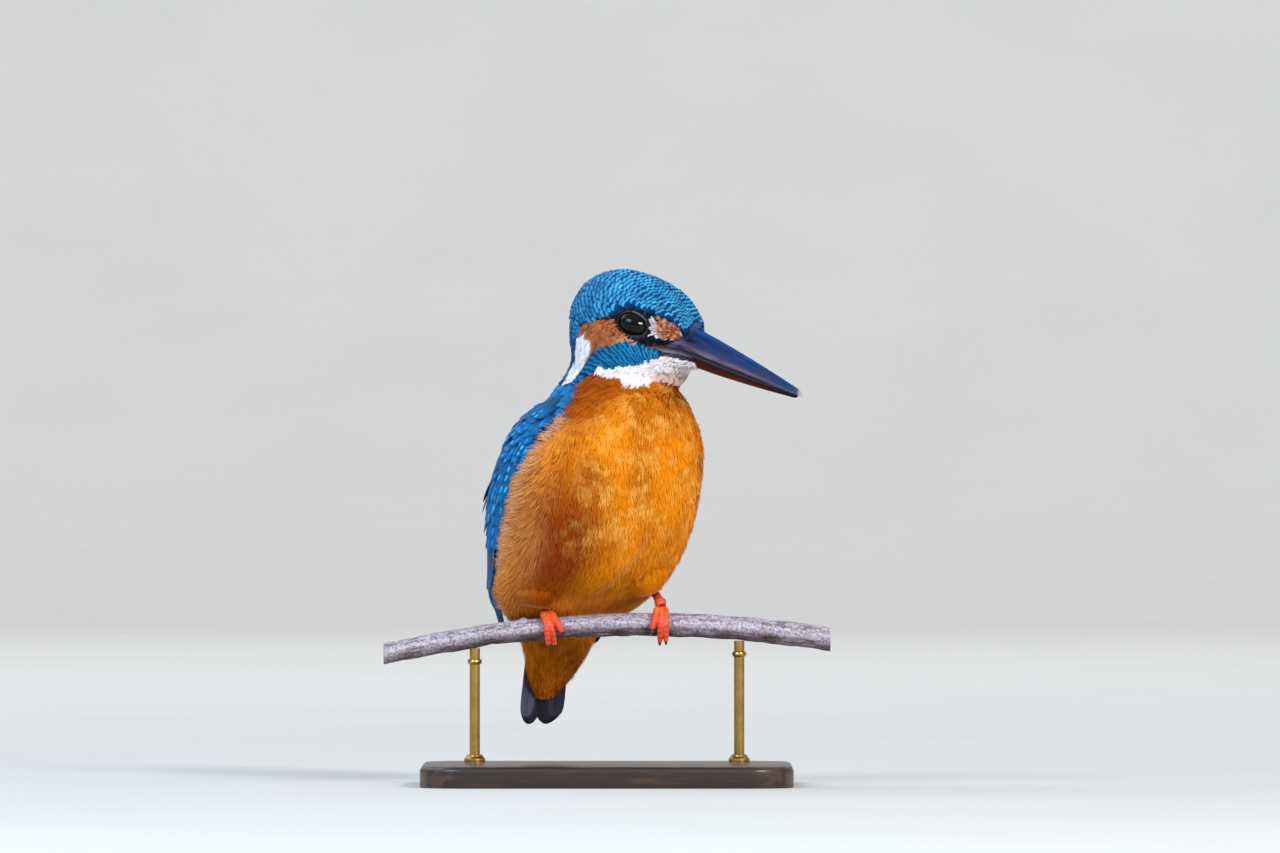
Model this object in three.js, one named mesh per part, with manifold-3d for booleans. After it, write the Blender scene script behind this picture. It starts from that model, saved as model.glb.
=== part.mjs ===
// A common kingfisher (Alcedo atthis), life size and still, gripping a cut length of branch that a
// small display stand holds up. Millimetres, +Z up. Its breast faces the front (-Y) and its bill
// points to the right (+X). The origin is on the table, under the middle of the branch.
import * as THREE from 'three';
import { mergeVertices } from 'three/addons/utils/BufferGeometryUtils.js';
import Module from 'manifold-3d';

const wasm = await Module();
wasm.setup();

// ---- driving dimensions -------------------------------------------------------------------------

const GAP = 0.3; // between solids that meet
const SEAT = 0.1; // more than the gap between the branch and what lies against it

// The bird turns about an upright line through its neck. Headings are degrees from the front
// towards the right, so the head looks further round to the bird's left than the body does.
const NECK_X = 1.5;
const NECK_Y = -6;
const BODY_HEADING = 32;
const HEAD_HEADING = 60;

// The feathered outline as sections from the bill back over the head and down to the undertail.
// back and belly are [forward of the neck line, height], wide is half the width across.
const SECTIONS = [
  { heading: HEAD_HEADING, back: [27.6, 127.4], belly: [29.4, 117.2], wide: 3.6 },
  { heading: HEAD_HEADING, back: [26.6, 131.4], belly: [27.2, 116.3], wide: 6.0 },
  { heading: HEAD_HEADING, back: [23.6, 135.7], belly: [23.6, 115.7], wide: 8.3 },
  { heading: HEAD_HEADING, back: [18.6, 139.6], belly: [22.1, 114.5], wide: 10.5 },
  { heading: HEAD_HEADING, back: [11.5, 142.6], belly: [21.6, 113.3], wide: 12.1 },
  { heading: HEAD_HEADING, back: [3.5, 144.2], belly: [21.3, 112.5], wide: 13.0 },
  { heading: HEAD_HEADING, back: [-4.8, 142.2], belly: [20.6, 111.8], wide: 13.4 },
  { heading: 58, back: [-10.6, 135.6], belly: [20.0, 111.2], wide: 13.3 },
  { heading: 52, back: [-11.4, 126.6], belly: [19.8, 110.4], wide: 13.0 },
  { heading: 44, back: [-10.6, 118.6], belly: [20.4, 108.8], wide: 13.8 },
  { heading: 36, back: [-14.4, 110.2], belly: [21.6, 105.0], wide: 19.0 },
  { heading: BODY_HEADING, back: [-21.8, 99.8], belly: [20.2, 96.5], wide: 24.8 },
  { heading: BODY_HEADING, back: [-27.4, 87.5], belly: [17.8, 84.0], wide: 27.1 },
  { heading: BODY_HEADING, back: [-31.0, 74.5], belly: [12.8, 69.8], wide: 27.0 },
  { heading: BODY_HEADING, back: [-32.8, 63.0], belly: [4.0, 59.0], wide: 25.4 },
  { heading: BODY_HEADING, back: [-33.8, 54.5], belly: [-9.5, 51.4], wide: 22.8 },
  { heading: BODY_HEADING, back: [-34.8, 48.2], belly: [-16.5, 46.2], wide: 17.0 },
  { heading: BODY_HEADING, back: [-35.6, 43.0], belly: [-21.2, 41.0], wide: 11.4 },
  { heading: BODY_HEADING, back: [-35.2, 36.5], belly: [-25.4, 35.0], wide: 8.8 },
  { heading: BODY_HEADING, back: [-36.2, 29.6], belly: [-30.6, 28.8], wide: 6.0 },
  { heading: BODY_HEADING, back: [-37.2, 24.2], belly: [-35.6, 23.8], wide: 1.6 },
];
const ROUNDNESS = 2.25; // power of each section's superellipse, 2 is a true ellipse
const SECTION_STEPS = 2; // rings from one section to the next
const SECTION_SIDES = 26;

// Where the outline is parted, counted along SECTIONS.
const HEAD_END = 7.6;
const NECK_END = 9.6;
const TRUNK_END = 17.1;

const EYE_RADIUS = 4.9;
const EYE = { forward: 12.5, side: 9.0, height: 128.8 };

// The bill lies along the head's heading: its ridge, its cutting edge and its keel run from their
// heights at the base to one tip, and swell away from straight lines on the way.
const BILL_ROOT = 19; // inside the head
const BILL_BASE = 27.4; // where the ridge leaves the forehead
const UPPER_TIP = 60.8;
const LOWER_TIP = 59.4;
const BILL_TIP_HEIGHT = 109.0;
const RIDGE = { height: 127.5, swell: 1.15 };
const EDGE = { height: 120.9, swell: -0.5 };
const KEEL = { height: 116.9, swell: -0.85 };
const BILL_HALF_WIDTH = 4.3;
const BILL_TIP_DEPTH = 0.45; // of each half

const BRANCH_RADIUS = 3.25;
const BRANCH_TAPER = 0.004; // more radius for each millimetre to the right
const BRANCH_HALF_LENGTH = 62.5;
const BRANCH_CROWN = 45.0; // height of its middle line at the highest point
const BRANCH_CROWN_X = 10.5;
const BRANCH_BEND = 325; // radius of the arch

const STAND_BASE = { halfWidth: 52, halfDepth: 38, thickness: 6, corner: 12, bevel: 0.8 };
const STAND_ROD = { radius: 1.5, x: 37 };
const STAND_COLLAR = { radius: 3, height: 2.4 };

const COLOURS = {
  azure: 0x1f7fb0,
  orange: 0xd9791f,
  slate: 0x24303c,
  billBlack: 0x1a1c24,
  coral: 0xe8431c,
  claw: 0x2a1c1e,
  eye: 0x0a0706,
  bark: 0x8d8290,
  walnut: 0x3a2a20,
  brass: 0xb08d4a,
};

// ---- helpers ------------------------------------------------------------------------------------

const rad = THREE.MathUtils.degToRad;

// A smooth function of 0..1 through evenly spaced values.
function through(...values) {
  const curve = new THREE.SplineCurve(values.map((value, i) => new THREE.Vector2(i, value)));
  return (s) => curve.getPoint(THREE.MathUtils.clamp(s, 0, 1)).y;
}

// A point in the frame of the bird's heading: forward, to its left, and up.
function place(heading, forward, left, up) {
  const turn = rad(heading);
  return new THREE.Vector3(
    NECK_X + forward * Math.sin(turn) + left * Math.cos(turn),
    NECK_Y - forward * Math.cos(turn) + left * Math.sin(turn),
    up,
  );
}

// Closes a row of equal rings of points into one body, with a flat fan over each end.
function loft(rings) {
  const sides = rings[0].length;
  const points = rings.flat();
  const faces = [];
  for (let ring = 0; ring < rings.length - 1; ring += 1) {
    for (let side = 0; side < sides; side += 1) {
      const a = ring * sides + side;
      const b = ring * sides + ((side + 1) % sides);
      faces.push(a, b, b + sides, a, b + sides, a + sides);
    }
  }
  for (const [ring, flip] of [[0, true], [rings.length - 1, false]]) {
    const middle = points.length;
    const sum = rings[ring].reduce((total, p) => total.add(p), new THREE.Vector3());
    points.push(sum.divideScalar(sides));
    for (let side = 0; side < sides; side += 1) {
      const a = ring * sides + side;
      const b = ring * sides + ((side + 1) % sides);
      faces.push(...(flip ? [b, a, middle] : [a, b, middle]));
    }
  }
  const geometry = new THREE.BufferGeometry().setFromPoints(points);
  geometry.setIndex(faces);
  return facingOut(geometry);
}

// Turns every face round where the enclosed volume comes out negative.
function facingOut(geometry) {
  const { position } = geometry.attributes;
  const index = geometry.index.array;
  const corner = (i) => new THREE.Vector3().fromBufferAttribute(position, index[i]);
  let volume = 0;
  for (let i = 0; i < index.length; i += 3) {
    volume += corner(i).dot(corner(i + 1).cross(corner(i + 2)));
  }
  if (volume < 0) {
    for (let i = 0; i < index.length; i += 3) {
      [index[i], index[i + 1]] = [index[i + 1], index[i]];
    }
  }
  return geometry;
}

// A round tube of varying radius along a curve.
function tube(points, radiusAt, steps = 9, sides = 8) {
  const curve = new THREE.CatmullRomCurve3(points);
  const { normals, binormals } = curve.computeFrenetFrames(steps);
  const rings = [];
  for (let i = 0; i <= steps; i += 1) {
    const middle = curve.getPointAt(i / steps);
    const radius = radiusAt(i / steps);
    const ring = [];
    for (let side = 0; side < sides; side += 1) {
      const angle = (2 * Math.PI * side) / sides;
      ring.push(middle.clone()
        .addScaledVector(normals[i], radius * Math.cos(angle))
        .addScaledVector(binormals[i], radius * Math.sin(angle)));
    }
    rings.push(ring);
  }
  return loft(rings);
}

function solid(geometry) {
  const bare = geometry.clone();
  bare.deleteAttribute('normal');
  bare.deleteAttribute('uv');
  const merged = mergeVertices(bare, 1e-4);
  return new wasm.Manifold(new wasm.Mesh({
    numProp: 3,
    vertProperties: new Float32Array(merged.attributes.position.array),
    triVerts: new Uint32Array(merged.index.array),
  }));
}

function shape(body) {
  const { vertProperties, triVerts, numProp } = body.getMesh();
  const geometry = new THREE.BufferGeometry();
  const points = [];
  for (let i = 0; i < vertProperties.length; i += numProp) {
    points.push(new THREE.Vector3(vertProperties[i], vertProperties[i + 1], vertProperties[i + 2]));
  }
  geometry.setFromPoints(points);
  geometry.setIndex([...triVerts]);
  return geometry;
}

// The largest connected body left by a cut, without the slivers beside it.
function mainBody(body) {
  return body.decompose().reduce((best, part) => (part.volume() > best.volume() ? part : best));
}

// ---- the feathered outline ----------------------------------------------------------------------

const backLine = new THREE.CatmullRomCurve3(
  SECTIONS.map((s) => new THREE.Vector3(...s.back, s.wide)), false, 'catmullrom', 0.5,
);
const bellyLine = new THREE.CatmullRomCurve3(
  SECTIONS.map((s) => new THREE.Vector3(...s.belly, s.heading)), false, 'catmullrom', 0.5,
);

// The section at a place along SECTIONS: its middle, its half sizes and its own two directions.
function sectionAt(along) {
  const t = along / (SECTIONS.length - 1);
  const back = backLine.getPoint(t);
  const belly = bellyLine.getPoint(t);
  const heading = belly.z;
  const top = place(heading, back.x, 0, back.y);
  const bottom = place(heading, belly.x, 0, belly.y);
  const up = top.clone().sub(bottom);
  return {
    middle: top.clone().add(bottom).multiplyScalar(0.5),
    halfHeight: up.length() / 2,
    halfWidth: back.z,
    up: up.normalize(),
    left: new THREE.Vector3(Math.cos(rad(heading)), Math.sin(rad(heading)), 0),
  };
}

const rounded = (x) => Math.sign(x) * Math.abs(x) ** (2 / ROUNDNESS);

// A point on the outline. The angle goes from 0 at the belly over 90 at the bird's left side to
// 180 at the back. lift moves the point outwards.
function outlinePoint(along, angle, lift = 0) {
  const { middle, halfHeight, halfWidth, up, left } = sectionAt(along);
  return middle.clone()
    .addScaledVector(left, (halfWidth + lift) * rounded(Math.sin(rad(angle))))
    .addScaledVector(up, -(halfHeight + lift) * rounded(Math.cos(rad(angle))));
}

function outline(lift = 0) {
  const last = SECTIONS.length - 1;
  const steps = Math.round(last * SECTION_STEPS);
  const rings = [];
  for (let i = 0; i <= steps; i += 1) {
    const ring = [];
    for (let side = 0; side < SECTION_SIDES; side += 1) {
      ring.push(outlinePoint((last * i) / steps, (360 * side) / SECTION_SIDES, lift));
    }
    rings.push(ring);
  }
  return solid(loft(rings));
}

// Everything on the bill's side (towards = -1) or the tail's side (towards = 1) of a section,
// kept half a gap clear of it.
function sideOfSection(along, towards) {
  const size = 300;
  const { middle, up, left } = sectionAt(along);
  const tailward = new THREE.Vector3().crossVectors(up, left);
  const facing = new THREE.Matrix4().makeBasis(left, up, tailward.clone().negate());
  const box = new THREE.BoxGeometry(size, size, size);
  box.applyMatrix4(facing);
  const shift = tailward.multiplyScalar(towards * (size + GAP) / 2).add(middle);
  box.translate(shift.x, shift.y, shift.z);
  return solid(facingOut(box));
}

// ---- bill, eyes ---------------------------------------------------------------------------------

// One half of the bill from its cutting edge up to the ridge or down to the keel.
function mandible(tip, outer, grow) {
  const widths = through(1.25, 1.06, 0.8, 0.55, 0.34, 0.16);
  const swelling = through(0, 0.5, 0.8, 0.97, 1, 0.95);
  const edgeSide = Math.sign(outer.height - EDGE.height);
  const steps = 10;
  const sides = 6;
  const rings = [];
  for (let i = 0; i <= steps; i += 1) {
    const s = 1 - (1 - i / steps) ** 1.6; // rings closer towards the tip
    const forward = THREE.MathUtils.lerp(BILL_ROOT - grow, tip + grow, s);
    const lineAt = (line, end) => {
      const t = (forward - BILL_BASE) / (end - BILL_BASE);
      return THREE.MathUtils.lerp(line.height, BILL_TIP_HEIGHT, t) + line.swell * swelling(t);
    };
    const edge = lineAt(EDGE, UPPER_TIP);
    const blunt = i === steps ? 0.5 : 1;
    const reach = blunt * edgeSide * (lineAt(outer, tip) - edge);
    const height = Math.max(reach, BILL_TIP_DEPTH) + 2 * grow;
    const halfWidth = BILL_HALF_WIDTH * widths(s) + grow;
    const ring = [];
    for (let side = 0; side <= sides; side += 1) {
      const angle = (Math.PI * side) / sides;
      const left = halfWidth * Math.cos(angle);
      const up = edge + edgeSide * (GAP / 2 - grow + height * Math.sin(angle) ** 1.15);
      ring.push(place(HEAD_HEADING, forward, left, up));
    }
    rings.push(ring);
  }
  return loft(rings);
}

const upperBill = (grow = 0) => mandible(UPPER_TIP, RIDGE, grow);
const lowerBill = (grow = 0) => mandible(LOWER_TIP, KEEL, grow);

function eyeball(side, grow = 0) {
  const ball = new THREE.SphereGeometry(EYE_RADIUS + grow, 14, 9);
  const at = place(HEAD_HEADING, EYE.forward, side * EYE.side, EYE.height);
  ball.translate(at.x, at.y, at.z);
  return ball;
}

// ---- wings and tail -----------------------------------------------------------------------------

// A folded wing lies over the outline from the shoulder to the tip of the primaries. The right
// one hangs a little further out and ends higher.
const WINGS = {
  right: { side: -1, tipLift: 7.0, end: 17.0 },
  left: { side: 1, tipLift: 4.4, end: 17.75 },
};
const WING_START = 10.1; // along SECTIONS
const WING_RIM = 0.35; // thickness of the rim, as a part of the middle's

function wing({ side, tipLift, end }, grow = 0) {
  const leading = through(84, 80, 84, 88, 92, 93, 94);
  const trailing = through(112, 158, 162, 160, 152, 132, 104);
  const outer = through(0.6, 2.6, 3.4, 3.2, 2.8, 0.3 * tipLift + 1.6, tipLift);
  const thick = through(1.0, 3.6, 4.2, 3.8, 3.0, 2.0, 0.9);
  const steps = 13;
  const across = 6;
  const rings = [];
  for (let i = 0; i <= steps; i += 1) {
    const s = i / steps;
    const along = THREE.MathUtils.lerp(WING_START - grow / 6, end + grow / 6, s);
    const front = leading(s) - grow * 2;
    const rear = trailing(s) + grow * 2;
    const face = [1, -1].map((out) => Array.from({ length: across + 1 }, (_, k) => {
      const c = k / across;
      const rim = Math.min(1, WING_RIM + 2.2 * Math.sqrt(c * (1 - c)));
      const lift = outer(s) - (thick(s) * (1 - out * rim)) / 2 + out * grow;
      return outlinePoint(along, side * THREE.MathUtils.lerp(front, rear, c), lift);
    }));
    rings.push([...face[0], ...face[1].reverse()]);
  }
  return loft(rings);
}

// The closed tail: a slightly arched blade with a rounded end.
const TAIL = {
  base: [-32.8, 50], tip: [-39.2, 16.3], halfWidth: 7.4, thickness: 1.5, arch: 1.1, shift: -0.5,
};

function tailBlade(grow = 0) {
  const widths = through(0.78, 0.9, 0.98, 1, 1, 0.98, 0.86, 0.36);
  const steps = 10;
  const across = 4;
  const rings = [];
  for (let i = 0; i <= steps; i += 1) {
    const s = i / steps;
    const forward = THREE.MathUtils.lerp(TAIL.base[0], TAIL.tip[0], s);
    const height = THREE.MathUtils.lerp(TAIL.base[1] + grow, TAIL.tip[1] - grow, s);
    const halfWidth = TAIL.halfWidth * widths(s) + grow;
    const ring = [];
    for (const face of [1, -1]) {
      for (let k = 0; k <= across; k += 1) {
        const c = face * (1 - (2 * k) / across);
        const half = (TAIL.thickness / 2) * (1 - 0.55 * Math.abs(c)) + grow;
        const depth = forward + TAIL.arch * c * c + face * half;
        ring.push(place(BODY_HEADING, depth, TAIL.shift + halfWidth * c, height));
      }
    }
    rings.push(ring);
  }
  return loft(rings);
}

// ---- branch, legs -------------------------------------------------------------------------------

const branchHeight = (x) => BRANCH_CROWN - BRANCH_BEND
  + Math.sqrt(BRANCH_BEND ** 2 - (x - BRANCH_CROWN_X) ** 2);

function branch(grow = 0) {
  const steps = 14;
  const sides = 10;
  const rings = [];
  for (let i = 0; i <= steps; i += 1) {
    const x = BRANCH_HALF_LENGTH * ((2 * i) / steps - 1);
    const radius = BRANCH_RADIUS + BRANCH_TAPER * x + grow;
    const ring = [];
    for (let side = 0; side < sides; side += 1) {
      const angle = (2 * Math.PI * side) / sides;
      ring.push(new THREE.Vector3(
        x, radius * Math.cos(angle), branchHeight(x) + radius * Math.sin(angle),
      ));
    }
    rings.push(ring);
  }
  return loft(rings);
}

// Feet: where each grips the branch, where its ankle is, and how far the front toes slant.
const FEET = {
  right: {
    side: -1, x: -17.2, ankle: [-18.4, 3.4, 54.6], slant: 2.6,
    hip: [-16.5, 2.5, 71], knee: [-19.2, -1.6, 60.5], hem: [-20.4, -1.0, 50.0], girth: 10.4,
  },
  left: {
    side: 1, x: 15.4, ankle: [12.9, 3.6, 54.6], slant: -0.6,
    hip: [7.0, 5.0, 71], knee: [9.2, 1.4, 63], hem: [12.0, 3.0, 53.8], girth: 9.0,
  },
};
const TOE_RADIUS = 0.95;
const TARSUS_RADIUS = 1.35;
const TOE_SPACING = 1.7;
const CLAW = { length: 1.8, hook: 1.3, baseRadius: 0.68, tipRadius: 0.12 };

// A point around the branch at a foot: the angle is 0 on top and grows towards the front.
function roundBranch(x, angle, clear) {
  const radius = BRANCH_RADIUS + BRANCH_TAPER * x + GAP + SEAT + clear;
  return new THREE.Vector3(
    x, -radius * Math.sin(rad(angle)), branchHeight(x) + radius * Math.cos(rad(angle)),
  );
}

function tarsus({ x, ankle }, grow = 0) {
  const pad = roundBranch(x, 4, TARSUS_RADIUS);
  const heel = new THREE.Vector3(...ankle);
  const bend = heel.clone().lerp(pad, 0.55).add(new THREE.Vector3(0, 0.5, 0.2));
  const radius = through(1.25, 0.95, 0.9, 1.05, 1.3, 0.9);
  return tube([heel, bend, pad], (s) => TARSUS_RADIUS * radius(s) + grow, 6, 8);
}

// Toes count outwards from the bird's midline: the inner one is free, the next two are fused.
function toePath({ side, x, slant }, kind) {
  const offset = { inner: -1, middle: 0, outer: 1, hind: -0.2 }[kind] * side * TOE_SPACING;
  const angles = {
    inner: [12, 45, 78, 105], middle: [12, 50, 92, 142], outer: [12, 48, 88, 138],
    hind: [-12, -45, -80, -118],
  }[kind];
  return angles.map((angle, i) => {
    const s = i / (angles.length - 1);
    const spread = offset * (0.55 + 0.45 * s) * (kind === 'inner' ? 1.25 : 1);
    const hang = { inner: 0.5, middle: 1.6, outer: 1.6, hind: 0 }[kind] * s * s;
    return roundBranch(x + spread + slant * s, angle, TOE_RADIUS * (1 - 0.15 * s) + hang);
  });
}

function toe(foot, kind, grow = 0) {
  const radius = through(0.8, 1.05, 0.92, 1.02, 0.95, 0.72);
  return tube(toePath(foot, kind), (s) => TOE_RADIUS * radius(s) + grow, 8, 7);
}

// Each claw goes on from the end of its toe and hooks in under the branch.
function claw(foot, kind) {
  const path = toePath(foot, kind);
  const end = path[path.length - 1];
  const lead = end.clone().sub(path[path.length - 2]).normalize();
  const middle = new THREE.Vector3(end.x, 0, branchHeight(end.x));
  const inward = middle.sub(end).normalize();
  const start = end.clone().addScaledVector(lead, GAP);
  const { length, hook, baseRadius, tipRadius } = CLAW;
  const bend = start.clone()
    .addScaledVector(lead, length * 0.55)
    .addScaledVector(inward, hook * 0.12);
  const tip = start.clone().addScaledVector(lead, length).addScaledVector(inward, hook);
  const radius = (s) => THREE.MathUtils.lerp(baseRadius, tipRadius, s);
  return tube([start, bend, tip], radius, 4, 6);
}

// The feathered thigh: a lobe of the belly that narrows onto the ankle.
function thigh({ hip, knee, hem, girth }) {
  const radius = through(0.5, 0.82, 0.97, 1, 0.95, 0.8, 0.4);
  const points = [hip, knee, hem].map((p) => new THREE.Vector3(...p));
  return tube(points, (s) => girth * radius(s), 8, 14);
}

// ---- stand --------------------------------------------------------------------------------------

function standBase() {
  const { halfWidth, halfDepth, thickness, corner, bevel } = STAND_BASE;
  const x = halfWidth - bevel;
  const y = halfDepth - bevel;
  const plate = new THREE.Shape();
  plate.absarc(x - corner, y - corner, corner, 0, Math.PI / 2);
  plate.absarc(corner - x, y - corner, corner, Math.PI / 2, Math.PI);
  plate.absarc(corner - x, corner - y, corner, Math.PI, 1.5 * Math.PI);
  plate.absarc(x - corner, corner - y, corner, 1.5 * Math.PI, 2 * Math.PI);
  const geometry = new THREE.ExtrudeGeometry(plate, {
    depth: thickness - 2 * bevel, bevelThickness: bevel, bevelSize: bevel, bevelSegments: 1,
    curveSegments: 4,
  });
  geometry.translate(0, 0, bevel);
  return geometry;
}

function standRod(side) {
  const x = side * STAND_ROD.x;
  const bottom = STAND_BASE.thickness + STAND_COLLAR.height + 2 * GAP;
  const top = branchHeight(x) - BRANCH_RADIUS - BRANCH_TAPER * x - GAP - SEAT;
  const rod = new THREE.CylinderGeometry(STAND_ROD.radius, STAND_ROD.radius, top - bottom, 14);
  rod.rotateX(Math.PI / 2);
  rod.translate(x, 0, (top + bottom) / 2);
  return rod;
}

// The turned foot that each rod stands on.
function standCollar(side) {
  const { radius, height } = STAND_COLLAR;
  const profile = [
    new THREE.Vector2(0, 0),
    new THREE.Vector2(radius, 0),
    new THREE.Vector2(radius, height * 0.6),
    new THREE.Vector2(radius * 0.8, height),
    new THREE.Vector2(0, height),
  ];
  const collar = new THREE.LatheGeometry(profile, 14);
  collar.rotateX(Math.PI / 2);
  collar.translate(side * STAND_ROD.x, 0, STAND_BASE.thickness + GAP);
  return collar;
}

// ---- assembly -----------------------------------------------------------------------------------

const group = new THREE.Group();

function add(name, geometry, color, roughness = 0.7, metalness = 0) {
  const material = new THREE.MeshStandardMaterial({ color, roughness, metalness });
  const mesh = new THREE.Mesh(geometry, material);
  mesh.name = name;
  group.add(mesh);
}

const grownBranch = solid(branch(GAP));
const grownTail = solid(tailBlade(GAP));
const grownWings = Object.values(WINGS).map((which) => solid(wing(which, GAP)));
const grownBill = solid(upperBill(GAP)).add(solid(lowerBill(GAP)));
const thighs = Object.values(FEET).map((foot) => solid(thigh(foot)));
const grownThighs = Object.values(FEET).map((foot) => (
  solid(thigh({ ...foot, girth: foot.girth + GAP }))
));
const grownLegs = Object.values(FEET).map((foot) => solid(tarsus(foot, GAP)));
const grownHindToes = Object.values(FEET).map((foot) => solid(toe(foot, 'hind', GAP)));
const cutAll = (body, cutters) => cutters.reduce((rest, cutter) => rest.subtract(cutter), body);

const whole = cutAll(
  outline(),
  [...grownWings, ...grownThighs, ...grownLegs, ...grownHindToes, grownTail, grownBranch],
);
const head = cutAll(
  whole.intersect(sideOfSection(HEAD_END, -1)),
  [grownBill, solid(eyeball(1, GAP)), solid(eyeball(-1, GAP))],
);
const neck = whole
  .intersect(sideOfSection(HEAD_END, 1))
  .intersect(sideOfSection(NECK_END, -1));
const trunk = whole
  .intersect(sideOfSection(NECK_END, 1))
  .intersect(sideOfSection(TRUNK_END, -1));
const undertail = whole.intersect(sideOfSection(TRUNK_END, 1));

add('head', shape(mainBody(head)), COLOURS.azure);
add('neck', shape(mainBody(neck)), COLOURS.azure);
add('trunk', shape(mainBody(trunk)), COLOURS.orange);
add('undertail_coverts', shape(mainBody(undertail)), COLOURS.orange);
add('tail', tailBlade(), COLOURS.slate);
add('bill_upper', upperBill(), COLOURS.billBlack, 0.3);
add('bill_lower', lowerBill(), COLOURS.billBlack, 0.3);
add('eye_left', eyeball(1), COLOURS.eye, 0.05);
add('eye_right', eyeball(-1), COLOURS.eye, 0.05);

for (const [name, which] of Object.entries(WINGS)) {
  add(`wing_${name}`, shape(mainBody(solid(wing(which)).subtract(grownBranch))), COLOURS.azure);
}
Object.entries(FEET).forEach(([name, foot], i) => {
  const lobe = cutAll(thighs[i], [...grownWings, grownBranch, grownLegs[i], grownHindToes[i]]);
  const toes = {
    toes_fused: solid(toe(foot, 'middle')).add(solid(toe(foot, 'outer'))),
    toe_inner: solid(toe(foot, 'inner')).subtract(solid(toe(foot, 'middle', GAP))),
    toe_hind: solid(toe(foot, 'hind')),
  };
  add(`thigh_${name}`, shape(mainBody(lobe)), COLOURS.orange);
  add(`leg_${name}`, tarsus(foot), COLOURS.coral, 0.5);
  for (const [kind, body] of Object.entries(toes)) {
    const free = mainBody(body.subtract(grownLegs[i]));
    add(`${kind}_${name}`, shape(free), COLOURS.coral, 0.5);
  }
  for (const kind of ['inner', 'middle', 'outer', 'hind']) {
    add(`claw_${kind}_${name}`, claw(foot, kind), COLOURS.claw, 0.35);
  }
});

add('perch', branch(), COLOURS.bark, 0.9);
add('stand_base', standBase(), COLOURS.walnut, 0.5);
for (const [name, side] of [['left', -1], ['right', 1]]) {
  add(`stand_rod_${name}`, standRod(side), COLOURS.brass, 0.3, 1);
  add(`stand_collar_${name}`, standCollar(side), COLOURS.brass, 0.3, 1);
}

export default group;
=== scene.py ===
"""A life-size common kingfisher, still, on a cut length of branch and a plain stand.

One skin carries the markings, and vanes and tufts of solid mesh lie over it along the plumage.
Lengths are worked out in millimetres, as in the solids, and become metres when a mesh is made.
"""

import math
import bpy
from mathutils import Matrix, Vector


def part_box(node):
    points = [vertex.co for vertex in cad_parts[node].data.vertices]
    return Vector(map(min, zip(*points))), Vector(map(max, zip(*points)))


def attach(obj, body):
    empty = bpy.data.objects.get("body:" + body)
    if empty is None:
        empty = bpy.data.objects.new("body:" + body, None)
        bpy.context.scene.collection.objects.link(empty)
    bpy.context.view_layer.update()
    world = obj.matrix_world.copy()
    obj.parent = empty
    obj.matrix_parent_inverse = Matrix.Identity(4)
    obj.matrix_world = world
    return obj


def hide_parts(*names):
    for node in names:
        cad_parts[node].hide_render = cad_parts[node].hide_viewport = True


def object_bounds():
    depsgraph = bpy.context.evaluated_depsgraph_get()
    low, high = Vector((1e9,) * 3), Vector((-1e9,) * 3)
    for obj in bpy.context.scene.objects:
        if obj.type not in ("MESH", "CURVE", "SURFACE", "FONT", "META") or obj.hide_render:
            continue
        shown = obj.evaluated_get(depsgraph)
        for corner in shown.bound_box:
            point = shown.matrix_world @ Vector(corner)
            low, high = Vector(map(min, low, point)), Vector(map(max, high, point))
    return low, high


bl_info = {
    "name": "Kingfisher on a Perch",
    "version": (1, 0, 0),
    "blender": (4, 5, 0),
    "location": "3D View > Sidebar > Kingfisher",
    "description": "Skin, plumage, bill, eyes and feet of a kingfisher, its perch and its stand",
    "category": "Object",
}

import bmesh
import bpy
import numpy as np
from bpy.props import FloatProperty, FloatVectorProperty, IntProperty, PointerProperty
from mathutils import Vector, noise
from mathutils.kdtree import KDTree

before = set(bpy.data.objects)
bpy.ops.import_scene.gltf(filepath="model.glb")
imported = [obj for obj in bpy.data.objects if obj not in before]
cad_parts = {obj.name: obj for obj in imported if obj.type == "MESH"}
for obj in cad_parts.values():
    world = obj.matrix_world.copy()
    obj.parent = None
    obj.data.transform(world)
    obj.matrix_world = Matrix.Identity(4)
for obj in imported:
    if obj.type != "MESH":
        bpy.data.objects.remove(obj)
CAD_BOX = [list(corner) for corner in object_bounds()]

MM = 0.001


def tone(code):
    """A colour written as six hex digits, in the linear values that Blender mixes."""
    parts = [int(code[i:i + 2], 16) / 255 for i in (0, 2, 4)]
    return tuple(p / 12.92 if p <= 0.04045 else ((p + 0.055) / 1.055) ** 2.4 for p in parts)


# ---- the bird's build, as in the solids ----------------------------------------------------------

NECK_X = 1.5
NECK_Y = -6
BODY_HEADING = 32
HEAD_HEADING = 60

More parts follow.
